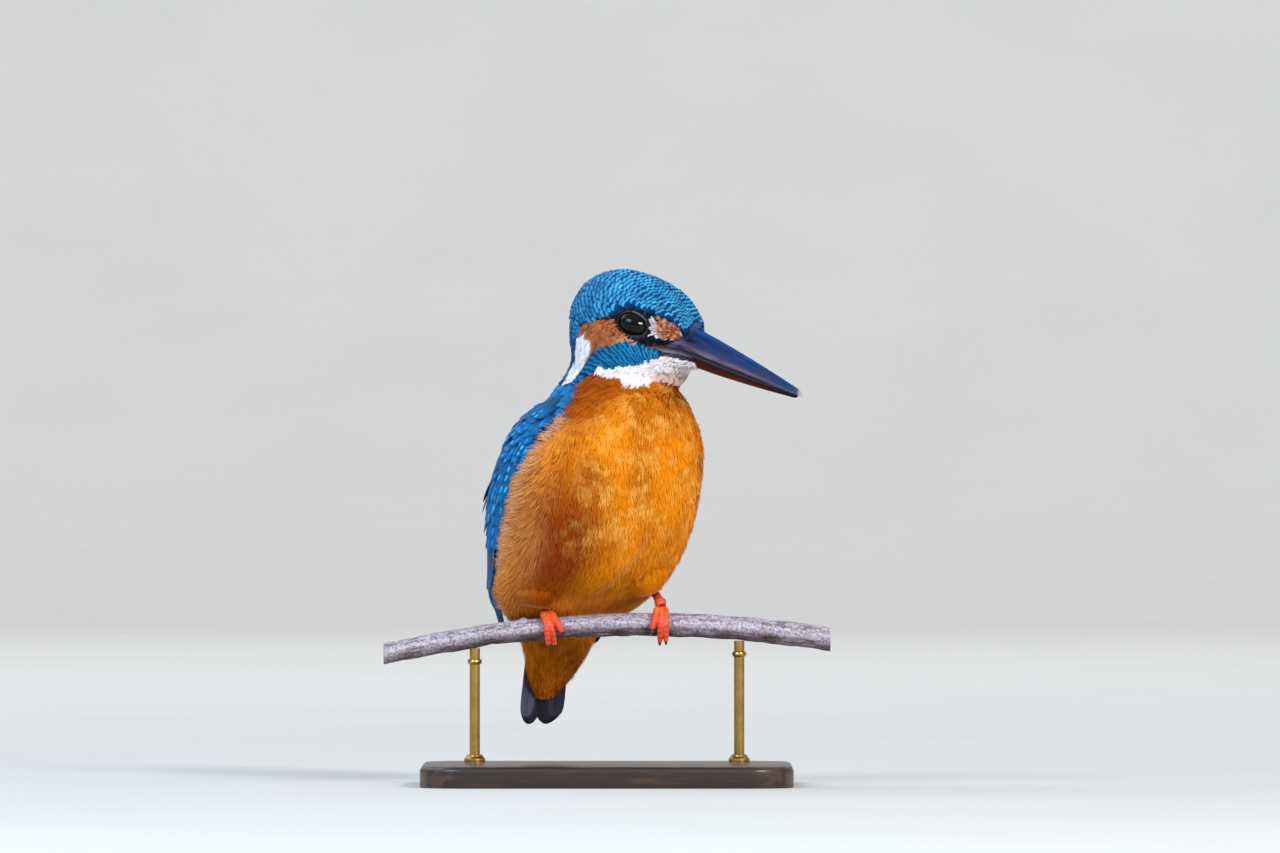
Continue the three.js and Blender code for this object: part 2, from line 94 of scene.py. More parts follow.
# Sections from the bill over the head and down to the undertail: heading, back forward and
# height, belly forward and height, half width.
SECTIONS = np.array([
    (60, 27.6, 127.4, 29.4, 117.2, 3.6),
    (60, 26.6, 131.4, 27.2, 116.3, 6),
    (60, 23.6, 135.7, 23.6, 115.7, 8.3),
    (60, 18.6, 139.6, 22.1, 114.5, 10.5),
    (60, 11.5, 142.6, 21.6, 113.3, 12.1),
    (60, 3.5, 144.2, 21.3, 112.5, 13),
    (60, -4.8, 142.2, 20.6, 111.8, 13.4),
    (58, -10.6, 135.6, 20, 111.2, 13.3),
    (52, -11.4, 126.6, 19.8, 110.4, 13),
    (44, -10.6, 118.6, 20.4, 108.8, 13.8),
    (36, -14.4, 110.2, 21.6, 105, 19),
    (32, -21.8, 99.8, 20.2, 96.5, 24.8),
    (32, -27.4, 87.5, 17.8, 84, 27.1),
    (32, -31, 74.5, 12.8, 69.8, 27),
    (32, -32.8, 63, 4, 59, 25.4),
    (32, -33.8, 54.5, -9.5, 51.4, 22.8),
    (32, -34.8, 48.2, -16.5, 46.2, 17),
    (32, -35.6, 43, -21.2, 41, 11.4),
    (32, -35.2, 36.5, -25.4, 35, 8.8),
    (32, -36.2, 29.6, -30.6, 28.8, 6),
    (32, -37.2, 24.2, -35.6, 23.8, 1.6),
])
LAST_SECTION = len(SECTIONS) - 1
ROUNDNESS = 2.25

THIGHS = {
    "right": {"path": [(-16.5, 2.5, 71), (-19.2, -1.6, 60.5), (-20.4, -1, 50)], "girth": 10.4},
    "left": {"path": [(7, 5, 71), (9.2, 1.4, 63), (12, 3, 53.8)], "girth": 9},
}
THIGH_GIRTHS = (0.5, 0.82, 0.97, 1, 0.95, 0.8, 0.4)

WINGS = {
    "right": {"side": -1, "tip_lift": 7, "end": 17},
    "left": {"side": 1, "tip_lift": 4.4, "end": 17.75},
}
WING_START = 10.1

TAIL_BASE = (-32.8, 50)
TAIL_TIP = (-39.2, 16.3)
TAIL_HALF_WIDTH = 7.4
TAIL_ARCH = 1.1
TAIL_SHIFT = -0.5

BILL_BASE = 27.4
BILL_ROOT = 19
UPPER_TIP = 60.8
LOWER_TIP = 59.4
BILL_TIP_HEIGHT = 109
# Lines of the bill: height at the base, where they end, and how far they swell on the way.
RIDGE = (127.5, UPPER_TIP, 1.15)
EDGE = (120.9, UPPER_TIP, -0.5)
KEEL = (116.9, LOWER_TIP, -0.85)
SWELLING = (0, 0.5, 0.8, 0.97, 1, 0.95)
BILL_HALF_WIDTH = 4.3
BILL_WIDTHS = (1.25, 1.06, 0.8, 0.55, 0.34, 0.16)

BRANCH_RADIUS = 3.25
BRANCH_TAPER = 0.004
BRANCH_HALF_LENGTH = 62.5
BRANCH_CROWN = 45
BRANCH_CROWN_X = 10.5
BRANCH_BEND = 325

FEET = {
    "right": {"side": -1, "x": -17.2, "ankle": (-18.4, 3.4, 54.6), "slant": 2.6},
    "left": {"side": 1, "x": 15.4, "ankle": (12.9, 3.6, 54.6), "slant": -0.6},
}
TOE_RADIUS = 0.95
TARSUS_RADIUS = 1.35
TOE_SPACING = 1.7
BRANCH_CLEARANCE = 0.4

# ---- settings ------------------------------------------------------------------------------------


def colour(label, text, code):
    return FloatVectorProperty(
        name=label, description=text, default=tone(code), subtype="COLOR", size=3, min=0, max=1,
    )


def length(label, text, millimetres):
    return FloatProperty(
        name=label, description=text, default=millimetres * MM, unit="LENGTH", precision=5, min=0,
    )


class PlumageSettings(bpy.types.PropertyGroup):
    """Colours and depth of the coat."""

    depth: length("Coat depth", "How far the skin lies inside the outline of the body", 1.4)
    face_depth: length("Face depth", "How far the skin lies inside the outline of the face", 0.8)
    seed: IntProperty(name="Seed", description="Start of the random draws", default=7, min=0)
    crown: colour("Crown", "Dark blue between the bars of the crown", "003c6c")
    crown_bar: colour("Crown bar", "Bright bars of the crown", "4ab8ec")
    nape: colour("Nape", "Deep blue of the hind neck", "00306a")
    malar: colour("Malar", "Teal blue of the moustache stripe", "00527c")
    malar_bar: colour("Malar bar", "Light spots of the moustache stripe", "2aa0d0")
    mantle: colour("Mantle", "Blue of the shoulders", "045c94")
    azure: colour("Azure", "Brilliant stripe down the back", "28b4ee")
    spot: colour("Spot", "Spots of the wing coverts", "58ccf8")
    wing: colour("Wing", "Blue of the wing coverts", "0064a2")
    flight: colour("Flight feathers", "Dark webs of wing and tail", "17181e")
    flight_edge: colour("Flight edge", "Blue edges of the flight feathers", "0f72b8")
    slate: colour("Slate", "Underside of the tail", "2c2a39")
    breast: colour("Breast", "Orange of the breast", "ff9a08")
    # Gold is laid on the tips of the breast's tufts as painted highlights.
    gold_highlight: colour("Gold", "Light flecks of the breast", "ffc458")
    # Rust is also laid as painted shade on the bird's right flank, away from the light.
    rust: colour("Rust", "Deep orange of the lower flank", "962a00")
    tan: colour("Tan", "Soft band beside the wing", "d98f4c")
    vent: colour("Vent", "Light orange between the legs", "ff942c")
    ear: colour("Ear", "Rust of the ear patch", "ac5a2c")
    ear_light: colour("Ear light", "Buff below the eye", "cf935f")
    lore: colour("Lore", "Orange tuft before the eye", "b46224")
    # Lilac painted sheen along the bird's right side, which faces the sky light behind: its outer tail
    # feathers and two scapulars.
    lilac_rim_sheen: colour("Lavender", "Outermost tail feather from below", "5a5c78")
    lore_light: colour("Lore light", "Pale tips of the tuft before the eye", "ffe2c8")
    white: colour("White", "Throat and neck patch", "f6f4fa")
    mauve: colour("Mauve", "Shade in the throat's white", "dccdd6")
    throat_shade: colour("Throat shade", "Warm shade in the fold of the throat", "cfa08c")
    black: colour("Black", "Feathers round the eye and on the lore", "0b0c14")


class BareSettings(bpy.types.PropertyGroup):
    """Colours of what carries no feathers."""

    bill: colour("Bill", "Horn of the bill", "12161f")
    # The blue over the upper bill is painted reflection of the sky.
    bill_sky_reflection: colour("Bill sheen", "Blue bloom along the upper bill", "032658")
    # Painted highlight along the ridge of the bill.
    bill_ridge_highlight: colour("Bill ridge", "Light blue along the ridge", "184e96")
    bill_red: colour("Bill keel", "Red-brown of the lower bill", "5e1f08")
    # Painted sheen in violet-grey next to the mouth edge, and the violet-grey mottle of the skin at the
    # corner of the mouth.
    bill_violet_and_sheen: colour("Bill edge", "Violet-grey along the mouth", "5d5166")
    bill_skin: colour("Bill skin", "Lilac skin behind the nostrils", "65568a")
    bill_slit: colour("Nostril", "The slit of each nostril", "1c0608")
    bill_tip: colour("Bill tip", "Worn pale tip", "b3a6c4")
    gape: colour("Gape", "Skin at the corner of the mouth", "a4503f")
    iris: colour("Iris", "Ring round the pupil", "0a0504")
    lid: colour("Lid", "Skin round the eye", "14131d")
    lid_rim: colour("Lid rim", "Pale edge of the lids", "a8a4bc")
    foot: colour("Foot", "Coral of the feet", "ee4a18")
    # Painted highlight in orange on the upper part of each toe, where the light falls.
    foot_top_highlight: colour("Foot light", "Orange of the upper side of the toes", "ff8a2c")
    # Painted shade in deep red in the creases between the scales.
    foot_crease_shade: colour("Foot creases", "Deep red between the scales", "b3200c")
    foot_mark: colour("Foot marks", "Purple marks on the feet", "4b1d31")
    claw: colour("Claw", "Horn of the claws", "2a1a1c")


class PerchSettings(bpy.types.PropertyGroup):
    """Colours of the branch and the stand."""

    # The bark is this pale grey all round; the darker underside is painted shade.
    bark: colour("Bark", "Weathered upper bark", "c6bacb")
    bark_dark: colour("Bark specks", "Dark specks and fissures", "5b4b52")
    bark_olive: colour("Bark olive", "Thin green film on the bark", "7b8466")
    # Painted shade on the underside of the branch, and the darker rings of the cut ends.
    bark_brown_and_shade: colour("Bark underside", "Rough brown underside", "58433f")
    pith: colour("Cut wood", "Cut ends of the branch", "b69468")
    walnut: colour("Walnut", "Stand base", "4a2c1a")
    walnut_dark: colour("Walnut grain", "Grain of the stand base", "22120a")
    brass: colour("Brass", "Rods and collars", "b58f4b")


class StageSettings(bpy.types.PropertyGroup):
    """Floor, light and camera."""

    floor: colour("Floor", "Plain pale floor and backdrop", "d4d4d2")
    key: FloatProperty(name="Key light", description="Power of the main light", default=56,
                       unit="POWER", min=0)
    sky: FloatProperty(name="Sky light", description="Power of the light behind", default=15,
                       unit="POWER", min=0)
    world: FloatProperty(name="Room light", description="Strength of the even light", default=0.58,
                         min=0)
    backdrop: FloatProperty(name="Backdrop light", description="Power of the light on the backdrop",
                            default=45, unit="POWER", min=0)
    lens: FloatProperty(name="Lens", description="Focal length in millimetres", default=400, min=1)
    distance: length("Distance", "From the camera to the bird", 3980)
    aside: length("Camera aside", "How far right of the middle the camera stands", 9.24)
    height: length("Camera height", "Height of the camera over the floor", 100.4)


# ---- curves and surfaces in arrays ---------------------------------------------------------------


def spline(rows, at):
    """A smooth line through evenly spaced rows of values."""
    rows = np.asarray(rows, float)
    last = len(rows) - 1
    at = np.clip(np.asarray(at, float), 0, last)
    i = np.minimum(at.astype(int), last - 1)
    t = (at - i)[..., None]
    held = np.vstack([2 * rows[0] - rows[1], rows, 2 * rows[-1] - rows[-2]])
    before, start, end, after = held[i], held[i + 1], held[i + 2], held[i + 3]
    leave = (end - before) / 2
    arrive = (after - start) / 2
    return (
        (2 * start - 2 * end + leave + arrive) * t ** 3
        + (3 * end - 3 * start - 2 * leave - arrive) * t ** 2
        + leave * t + start
    )


def through(*values):
    """A smooth function of 0..1 through evenly spaced values."""
    rows = np.array(values, float)[:, None]
    return lambda s: spline(rows, np.clip(s, 0, 1) * (len(values) - 1))[..., 0]


def place(heading, forward, left, up):
    """A point in the frame of the bird's heading: forward, to its left, and up."""
    turn = np.radians(heading)
    sin, cos = np.sin(turn), np.cos(turn)
    return np.stack(np.broadcast_arrays(
        NECK_X + forward * sin + left * cos, NECK_Y - forward * cos + left * sin, up,
    ), -1)


def head_frame(points):
    """Forward, left and up of points, as seen from the head."""
    x = points[..., 0] - NECK_X
    y = points[..., 1] - NECK_Y
    sin, cos = math.sin(math.radians(HEAD_HEADING)), math.cos(math.radians(HEAD_HEADING))
    return x * sin - y * cos, x * cos + y * sin, points[..., 2]


def unit(vectors):
    return vectors / np.maximum(np.linalg.norm(vectors, axis=-1, keepdims=True), 1e-9)


def rounded(x):
    return np.sign(x) * np.abs(x) ** (2 / ROUNDNESS)


def outline(along, angle, lift=0):
    """A point of the feathered body. The angle is 0 at the belly, 90 at the left, 180 at the back."""
    rows = spline(SECTIONS, along)
    heading = rows[..., 0]
    top = place(heading, rows[..., 1], 0, rows[..., 2])
    bottom = place(heading, rows[..., 3], 0, rows[..., 4])
    up = top - bottom
    half_height = np.linalg.norm(up, axis=-1) / 2
    up = up / (2 * half_height[..., None])
    turn = np.radians(heading)
    left = np.stack([np.cos(turn), np.sin(turn), np.zeros_like(turn)], -1)
    around = np.radians(angle)
    sideways = (rows[..., 5] + lift) * rounded(np.sin(around))
    upwards = -(half_height + lift) * rounded(np.cos(around))
    return (top + bottom) / 2 + left * sideways[..., None] + up * upwards[..., None]


def thigh_surface(name):
    path = np.array(THIGHS[name]["path"], float)
    girth = through(*THIGH_GIRTHS)

    def at(along, angle, lift=0):
        s = np.clip(np.asarray(along) / 10, 0, 1)
        middle = spline(path, s * 2)
        ahead = unit(spline(path, np.minimum(s * 2 + 0.05, 2)) - spline(path, s * 2 - 0.05))
        front = unit(np.cross(ahead, np.array([1, 0, 0])))
        side = np.cross(front, ahead)
        around = np.radians(angle)
        radius = THIGHS[name]["girth"] * girth(s) + lift
        return middle + (radius * np.sin(around))[..., None] * side \
            + (radius * np.cos(around))[..., None] * front

    return at


def wing_surface(name):
    """The outer face of a folded wing. along and across run from 0 to 20 each."""
    form = WINGS[name]
    tip = form["tip_lift"]
    leading = through(84, 80, 84, 88, 92, 93, 94)
    trailing = through(112, 158, 162, 160, 152, 132, 104)
    outer = through(0.6, 2.6, 3.4, 3.2, 2.8, 0.3 * tip + 1.6, tip)
    thick = through(1, 3.6, 4.2, 3.8, 3, 2, 0.9)

    def at(along, across, lift=0):
        s = np.asarray(along) / 20
        c = np.clip(np.asarray(across) / 20, 0, 1)
        rim = np.minimum(1, 0.35 + 2.2 * np.sqrt(c * (1 - c)))
        height = outer(s) - thick(s) * (1 - rim) * 0.5 + lift
        angle = form["side"] * (leading(s) + (trailing(s) - leading(s)) * c)
        return outline(WING_START + s * (form["end"] - WING_START), angle, height)

    return at


class Surface:
    """A surface laid out over two numbers, with its directions at each place."""

    def __init__(self, at, along_step, across_step):
        self.at = at
        self.along_step = along_step
        self.across_step = across_step

    def frame(self, along, across):
        """Place, change with along, change with across, and the way out."""
        here = self.at(along, across)
        ahead = (self.at(along + self.along_step, across) - self.at(along - self.along_step, across))
        ahead /= 2 * self.along_step
        aside = (self.at(along, across + self.across_step) - self.at(along, across - self.across_step))
        aside /= 2 * self.across_step
        out = unit(np.cross(ahead, aside))
        facing = np.sum(out * (self.at(along, across, 1) - here), -1, keepdims=True)
        return here, ahead, aside, np.where(facing < 0, -out, out)

    def step(self, along, across, distance, turn):
        """Walk from each place, turned by an angle from the lie towards growing across."""
        here, ahead, aside, out = self.frame(along, across)
        lie = unit(ahead)
        beside = unit(aside - lie * np.sum(aside * lie, -1, keepdims=True))
        way = lie * np.cos(turn)[..., None] + beside * np.sin(turn)[..., None]
        aa = np.sum(ahead * ahead, -1)
        ac = np.sum(ahead * aside, -1)
        cc = np.sum(aside * aside, -1)
        wa = np.sum(way * ahead, -1) * distance
        wc = np.sum(way * aside, -1) * distance
        room = np.maximum(aa * cc - ac * ac, 1e-6)
        moved_along = along + (cc * wa - ac * wc) / room
        moved_across = across + (aa * wc - ac * wa) / room
        return here, way, out, moved_along, moved_across


BODY = Surface(outline, 0.03, 0.8)

# ---- markings ------------------------------------------------------------------------------------

# On the sides of the head, heights of the borders between tracts over the forward distance.
CROWN_EDGE = (
    (-9, 108), (-7.5, 113.5), (-6.6, 118.4), (-4.9, 123.2), (-4.4, 126.2), (-3, 129), (-1, 130.3),
    (4.2, 131), (8.2, 131.3), (12.6, 132.9), (17.1, 131.6), (19.8, 130.6), (22.2, 129.8), (24.2, 128.6),
    (25.6, 126.8), (26.2, 125.4), (27.2, 124.6),
)
MALAR_TOP = (
    (-6, 111.5), (-4.5, 114), (-2.3, 117.3), (-0.2, 119.8), (2.1, 121.8), (5.4, 123.2), (12.4, 124),
    (15.5, 123.2), (18.6, 122), (22, 120.8),
)
MALAR_BOTTOM = (
    (-3, 110.5), (-0.7, 112.6), (0.8, 115.1), (3.5, 116.9), (7.2, 117.1), (11.7, 117.6), (15.8, 118.2),
    (19.8, 119.3), (22.5, 120.2),
)
THROAT_EDGE = (
    (-1.5, 116.2), (3, 115.5), (7, 114.7), (10.6, 114), (11.4, 111.8), (14.8, 111.5), (17.2, 112),
    (18.2, 113.3), (20.3, 112.8), (22, 112),
)
CORNER_TOP = ((14.4, 123.5), (18.4, 123.1), (20.2, 123.4), (22.6, 123.6), (24.1, 124.2), (26.1, 126.2),
              (27.6, 127.6))
CORNER_LINE = ((14.4, 123.3), (18.4, 122.8), (21.7, 122.3), (25, 121.5), (29, 120.3))
CORNER_BOTTOM = ((14.4, 123.2), (18.4, 122.3), (20.4, 121.6), (21, 120), (23, 119.3), (26.9, 118.1),
                 (29, 117.3))
HEAD_FLOOR = 112.6  # below it the borders follow the body
BLUE_EDGE = (  # angle from the belly at which the body turns blue, along the sections
    (8.5, 93), (9.2, 90), (9.8, 81.5), (10.2, 72.5), (10.6, 65), (11, 66), (11.5, 71), (12, 76),
    (12.5, 77), (13, 79), (13.6, 81), (14.4, 77), (15.2, 75), (16, 85), (17, 112), (20, 118),
)
AZURE_HALF_ANGLE = 22  # of the stripe down the back
AZURE_START = 9.5  # where its rounded upper end lies
EYE_OPENING = (4.45, 3.05)  # half axes of the lids' opening, along and across
EYE_TILT = -27  # degrees, of the opening's long axis
EYE_BALL = (1, 0.72, 0.74)  # half axes of the eyeball along, across and outwards, of its radius
EYE_OUT = 1  # how far its middle lies outside the middle of the socket
EYE_SLOPE = 0.18  # how far it turns to the front

TRACTS = (
    "breast", "crown", "nape", "malar", "throat", "ear", "lore_white", "lore", "black", "neck_white",
    "mantle", "azure", "undertail", "bare",
)
(BREAST, CROWN, NAPE, MALAR, THROAT, EAR, LORE_WHITE, LORE, BLACK, NECK_WHITE, MANTLE, AZURE,
 UNDERTAIL, BARE) = range(len(TRACTS))


def eye_place(name):
    """Centre and radius of an eye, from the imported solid."""
    low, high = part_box(name)
    return np.array((low + high) / 2) / MM, (high.z - low.z) / 2 / MM


EYES = {1: eye_place("eye_left"), -1: eye_place("eye_right")}
OPENING_FORWARD = head_frame(EYES[1][0])[0] + 0.7
OPENING_UP = head_frame(EYES[1][0])[2] + 0.1


def along_opening(forward, up):
    """Distances from the middle of the lids' opening, along it and across it."""
    tilt = math.radians(EYE_TILT)
    x = forward - OPENING_FORWARD
    z = up - OPENING_UP
    return x * math.cos(tilt) + z * math.sin(tilt), z * math.cos(tilt) - x * math.sin(tilt)


def eye_distance(points):
    """Distance from the middle of the lids' opening, as a part of its half axes."""
    forward, _, up = head_frame(points)
    along, across = along_opening(forward, up)
    return np.hypot(along / EYE_OPENING[0], across / EYE_OPENING[1])


def border(table, at):
    rows = np.array(table, float)
    return np.interp(at, rows[:, 0], rows[:, 1])


def capsule(x, z, start, end, start_radius, end_radius):
    """Distance to a tapered band from start to end, as a part of its radius there."""
    dx, dz = end[0] - start[0], end[1] - start[1]
    t = np.clip(((x - start[0]) * dx + (z - start[1]) * dz) / (dx * dx + dz * dz), 0, 1)
    away = np.hypot(x - start[0] - t * dx, z - start[1] - t * dz)
    return away / (start_radius + (end_radius - start_radius) * t)


def tract_of(points, along, angle):
    """Which tract of the plumage covers each place of the body."""
    forward, _, up = head_frame(points)
    turned = np.abs(signed(angle))
    tract = np.full(up.shape, BREAST)
    tract[turned > border(BLUE_EDGE, along)] = MANTLE
    off_middle = (180 - turned) / AZURE_HALF_ANGLE
    tract[(off_middle < 1) & (along > AZURE_START + 1.1 * off_middle ** 2)] = AZURE
    tract[(along > 16.6) & (turned <= border(BLUE_EDGE, along))] = UNDERTAIL

    head = (up > HEAD_FLOOR) | ((along < 8.9) & (turned < 70))
    crown_edge = np.where(forward < -9, 0, border(CROWN_EDGE, forward))
    malar_top = border(MALAR_TOP, forward)
    malar_bottom = border(MALAR_BOTTOM, forward)
    throat_edge = border(THROAT_EDGE, forward)
    throat = head & (up < malar_bottom) & (forward > -1.5) & (up > throat_edge)
    malar = head & (up >= malar_bottom) & (up < malar_top) & (forward < 22)
    face = head & (up >= malar_top) & (up < crown_edge)
    crown = head & (up >= crown_edge)
    tract[head & (up <= throat_edge)] = BREAST
    tract[throat] = THROAT
    tract[crown] = CROWN
    tract[crown & (along > 7.6)] = NAPE
    tract[face] = EAR
    tract[face & (capsule(forward, up, (-2.2, 122.9), (-6.1, 116), 2.8, 1.6) < 1)] = NECK_WHITE
    tract[face & (forward < -1.5) & (up < 126)] = NECK_WHITE
    tract[face & (forward > 16.2)] = LORE
    tract[face & (forward > 14) & (forward < 20) & (up > 129.7)] = BLACK
    tract[face & (capsule(forward, up, (18.3, 129.2), (19.5, 125.8), 1.35, 1.25) < 1)] = LORE_WHITE
    tract[face & (capsule(forward, up, (15.8, 125.4), (23.8, 123.9), 1.3, 0.6) < 1)] = BLACK
    tract[face & (forward > 14) & (up < 124.7)] = BLACK
    tract[face & (forward > 16.2) & (forward < 17.2)] = BLACK
    tract[face & (up > crown_edge - 0.8) & (forward < 17)] = BLACK
    tract[malar] = MALAR
    tract[head & (eye_distance(points) < 1.24) & (up < 133.5)] = BLACK
    tract[head & (up < border(CORNER_TOP, forward)) & (up > border(CORNER_BOTTOM, forward))
          & (forward > 14.4)] = BARE
    return tract


def clouds(points, scale, seed=0):
    """Smooth noise of about -1..1 at each point, with features of a given size."""
    shift = Vector((seed * 17.3, seed * -9.1, seed * 5.7))
    flat = np.asarray(points, float).reshape(-1, 3) / scale
    values = [noise.noise(Vector(p) + shift) for p in flat]
    return (np.array(values) * 1.8).reshape(np.shape(points)[:-1])


def blend(a, b, amount):
    amount = np.clip(amount, 0, 1)[..., None]
    return np.asarray(a) * (1 - amount) + np.asarray(b) * amount


def ramp(x, low, high):
    t = np.clip((x - low) / (high - low), 0, 1)
    return t * t * (3 - 2 * t)


def fall(x, low, high):
    """One below low, zero above high, and smooth between them."""
    return 1 - ramp(x, low, high)


def layered(ground, *layers):
    """A ground colour with further colours laid over it, each by its own share."""
    for colour_over, share in layers:
        ground = blend(ground, colour_over, share)
    return ground


def signed(angle):
    """An angle round the body, from -180 on its right over the belly to 180."""
    return (angle + 180) % 360 - 180


def breast_tone(points, along, angle, s):
    """Orange with tan beside the wing and rust low on the flanks; the rust is heavier on the bird's right
    side, where it is partly painted shade.
    """
    aside = signed(angle)
    turned = np.abs(aside)
    broad = clouds(points * np.array([1, 1, 0.6]), 9, 1)
    low = ramp(along, 10.9, 12.9) * (1 - 0.45 * ramp(along, 13.7, 14.7))
    parting = np.abs(aside - np.interp(along, (13, 14.8), (5, -5)))
    beside_wing = ramp(turned + 4 * broad, 52, 70) * ramp(along, 10.2, 11)
    return layered(
        s.breast,
        (s.rust, 0.14 + 0.34 * broad + 0.32 * fall(along, 9.8, 11.2)),
        # Rust on the bird's right side, heavier than on the left, is partly the flank's own colour and
        # partly painted shade on the side away from the light.
        (s.rust, low * ramp(-aside, 2, 38) * fall(turned, 66, 80)),
        (s.rust, 0.4 * low * ramp(aside, 40, 70)),
        (s.rust, 0.65 * ramp(-aside, 28, 64) * fall(along, 10.2, 11.4)),
        (s.tan, (0.85 - 0.3 * ramp(along, 12.5, 14.5)) * beside_wing),
        (s.vent, 0.9 * ramp(along, 14.3, 15) * fall(turned, 18, 38) * fall(along, 16, 17)),
        (s.lore_light, 0.1 * fall(parting, 0.6, 2) * ramp(along, 12.7, 13.2) * fall(along, 14.4, 15)),
    )


def plumage_tone(points, along, angle, tract):
    """The ground colour of the coat and the skin at each place, with painted shade on the bird's right flank
    and in the fold of the throat.
    """
    s = bpy.context.scene.kingfisher_plumage
    fine = clouds(points, 1.7, 3) * np.where(tract == UNDERTAIL, 0.3, 1)
    made = breast_tone(points, along, angle, s)
    grounds = {
        CROWN: (s.crown, s.nape, 0.3), NAPE: (s.nape, s.crown, 0.5), MALAR: (s.malar, s.crown, 0.35),
        THROAT: (s.white, s.mauve, 0.35), EAR: (s.ear, s.rust, 0.5), LORE_WHITE: (s.mauve, s.white, 0.5),
        LORE: (s.lore, s.ear, 0.7), BLACK: (s.black, s.crown, 0.1), NECK_WHITE: (s.white, s.mauve, 0.1),
        MANTLE: (s.mantle, s.wing, 0.7), AZURE: (s.azure, s.mantle, 0.45),
        UNDERTAIL: (s.rust, s.breast, 0.8), BARE: (s.black, s.nape, 0.8),
    }
    for which, (ground, other, share) in grounds.items():
        here = tract == which
        made[here] = blend(ground, other, share * (0.5 + fine[here]))
    forward, _, up = head_frame(points)
    return layered(
        made,
        (s.ear_light, (tract == EAR) * ramp(forward, 6.5, 11) * fall(up, 124.5, 127)),
        (s.throat_shade, 0.7 * (tract == THROAT) * ramp(forward, 16.5, 20.5) * fall(up, 114, 117)),
    )


# ---- meshes from arrays, for what is repeated ----------------------------------------------------


class Coat:
    """Gathers strips of feather mesh and makes one object of them."""

    def __init__(self):
        self.points, self.faces, self.vane, self.bake, self.tint, self.mark = [], [], [], [], [], []
        self.count = 0

    def add(self, points, vane, bake, tint, mark):
        """Strips of points: feather, station along, place across. The rest is given likewise."""
        index = np.arange(points[..., 0].size).reshape(points.shape[:3]) + self.count
        quads = np.stack([
            index[:, :-1, :-1], index[:, :-1, 1:], index[:, 1:, 1:], index[:, 1:, :-1],
        ], -1)
        self.points.append(points.reshape(-1, 3))
        self.faces.append(quads.reshape(-1, 4))
        for held, given, size in (
            (self.vane, vane, 2), (self.bake, bake, 2), (self.tint, tint, 4), (self.mark, mark, 4),
        ):
            held.append(np.broadcast_to(given, (*points.shape[:3], size)).reshape(-1, size))
        self.count += index.size

    def add_feathers(self, points, form, centres, size, tint, mark, strength):
        """Feathers of one colour each, with a small patch of the bake map at each root's place."""
        vane = vane_map(form, len(points))
        bake = np.clip(centres, size, 1 - size)[:, None, None] + (vane - 0.5) * size
        self.add(points, vane, bake, opaque(np.clip(tint, 0, 1))[:, None, None],
                 opaque(mark, strength[:, None])[:, None, None])

    def build(self, name, material):
        points = np.concatenate(self.points)
        faces = np.concatenate(self.faces)
        corners = faces.ravel()
        mesh = bpy.data.meshes.new(name)
        mesh.vertices.add(len(points))
        mesh.vertices.foreach_set("co", (points * MM).astype(np.float32).ravel())
        mesh.loops.add(faces.size)
        mesh.loops.foreach_set("vertex_index", corners.astype(np.int32))
        mesh.polygons.add(len(faces))
        mesh.polygons.foreach_set("loop_start", np.arange(0, faces.size, 4, dtype=np.int32))
        mesh.update(calc_edges=True)
        for label, held in (("OFBake", self.bake), ("Vane", self.vane)):
            layer = mesh.uv_layers.new(name=label)
            layer.data.foreach_set("uv", np.concatenate(held)[corners].astype(np.float32).ravel())
        for label, held in (("tint", self.tint), ("mark", self.mark)):
            layer = mesh.color_attributes.new(label, "FLOAT_COLOR", "POINT")
            layer.data.foreach_set("color", np.concatenate(held).astype(np.float32).ravel())
        mesh.polygons.foreach_set("use_smooth", np.ones(len(faces), bool))
        mesh.materials.append(material)
        return finish_piece(name, mesh)


def finish_piece(name, mesh, replaced=()):
    """Put a mesh in the scene under a name, riding on the one body that there is."""
    made = bpy.data.objects.new(name, mesh)
    bpy.context.scene.collection.objects.link(made)
    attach(made, "root")
    if replaced:
        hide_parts(*replaced)
    return made


def opaque(colours, alpha=1):
    """Colours with a fourth number."""
    return np.concatenate([colours, np.broadcast_to(alpha, (*colours.shape[:-1], 1))], -1)


def walk(surface, along, across, distance, turn, stations, bend=0):
    """Follow the surface from each root. bend is a further turn by the time the tip is reached."""
    found = []
    before = 0
    for reach in stations:
        if reach > before:
            so_far = turn + bend * (reach + before) / 2
            *_, along, across = surface.step(along, across, distance * (reach - before), so_far)
        found.append(surface.step(along, across, distance, turn + bend * reach)[:3])
        before = reach
    return [np.stack(part, 1) for part in zip(*found)]


def laid_out(middle, out, side, lift, width, form):
    """Points of vanes round their middle lines, raised by lift, their edges curling down."""
    _, profile, places, camber = form
    half = np.asarray(width)[..., None] / 2 * np.asarray(profile)
    x = np.asarray(places)
    points = middle[:, :, None] + out[:, :, None] * lift[:, :, None, None]
    points = points + side[:, :, None] * (half[:, :, None] * x)[..., None]
    return points - out[:, :, None] * (camber * half[:, :, None] * x ** 2)[..., None]


def strips(surface, along, across, form, distance, width, turn, root_lift, tip_lift, roll, bend=0):
    """Feather vanes over a surface. form gives the stations, half widths and places across."""
    middle, way, out = walk(surface, along, across, distance, turn, form[0], bend)
    roll = roll[:, None, None]
    side = np.cross(out, way) * np.cos(roll) + out * np.sin(roll)
    sunk = (1 - np.asarray(form[0])) ** 1.4
    lift = np.asarray(root_lift)[..., None] * sunk + np.asarray(tip_lift)[..., None] * (1 - sunk)
    return laid_out(middle, out, side, lift, width, form)


def vane_map(form, count):
    """Places across and along each feather, both from 0 to 1."""
    u = (np.asarray(form[2]) + 1) / 2
    grid = np.stack(np.broadcast_arrays(u[None, :], np.asarray(form[0])[:, None]), -1)
    return np.broadcast_to(grid, (count, *grid.shape))


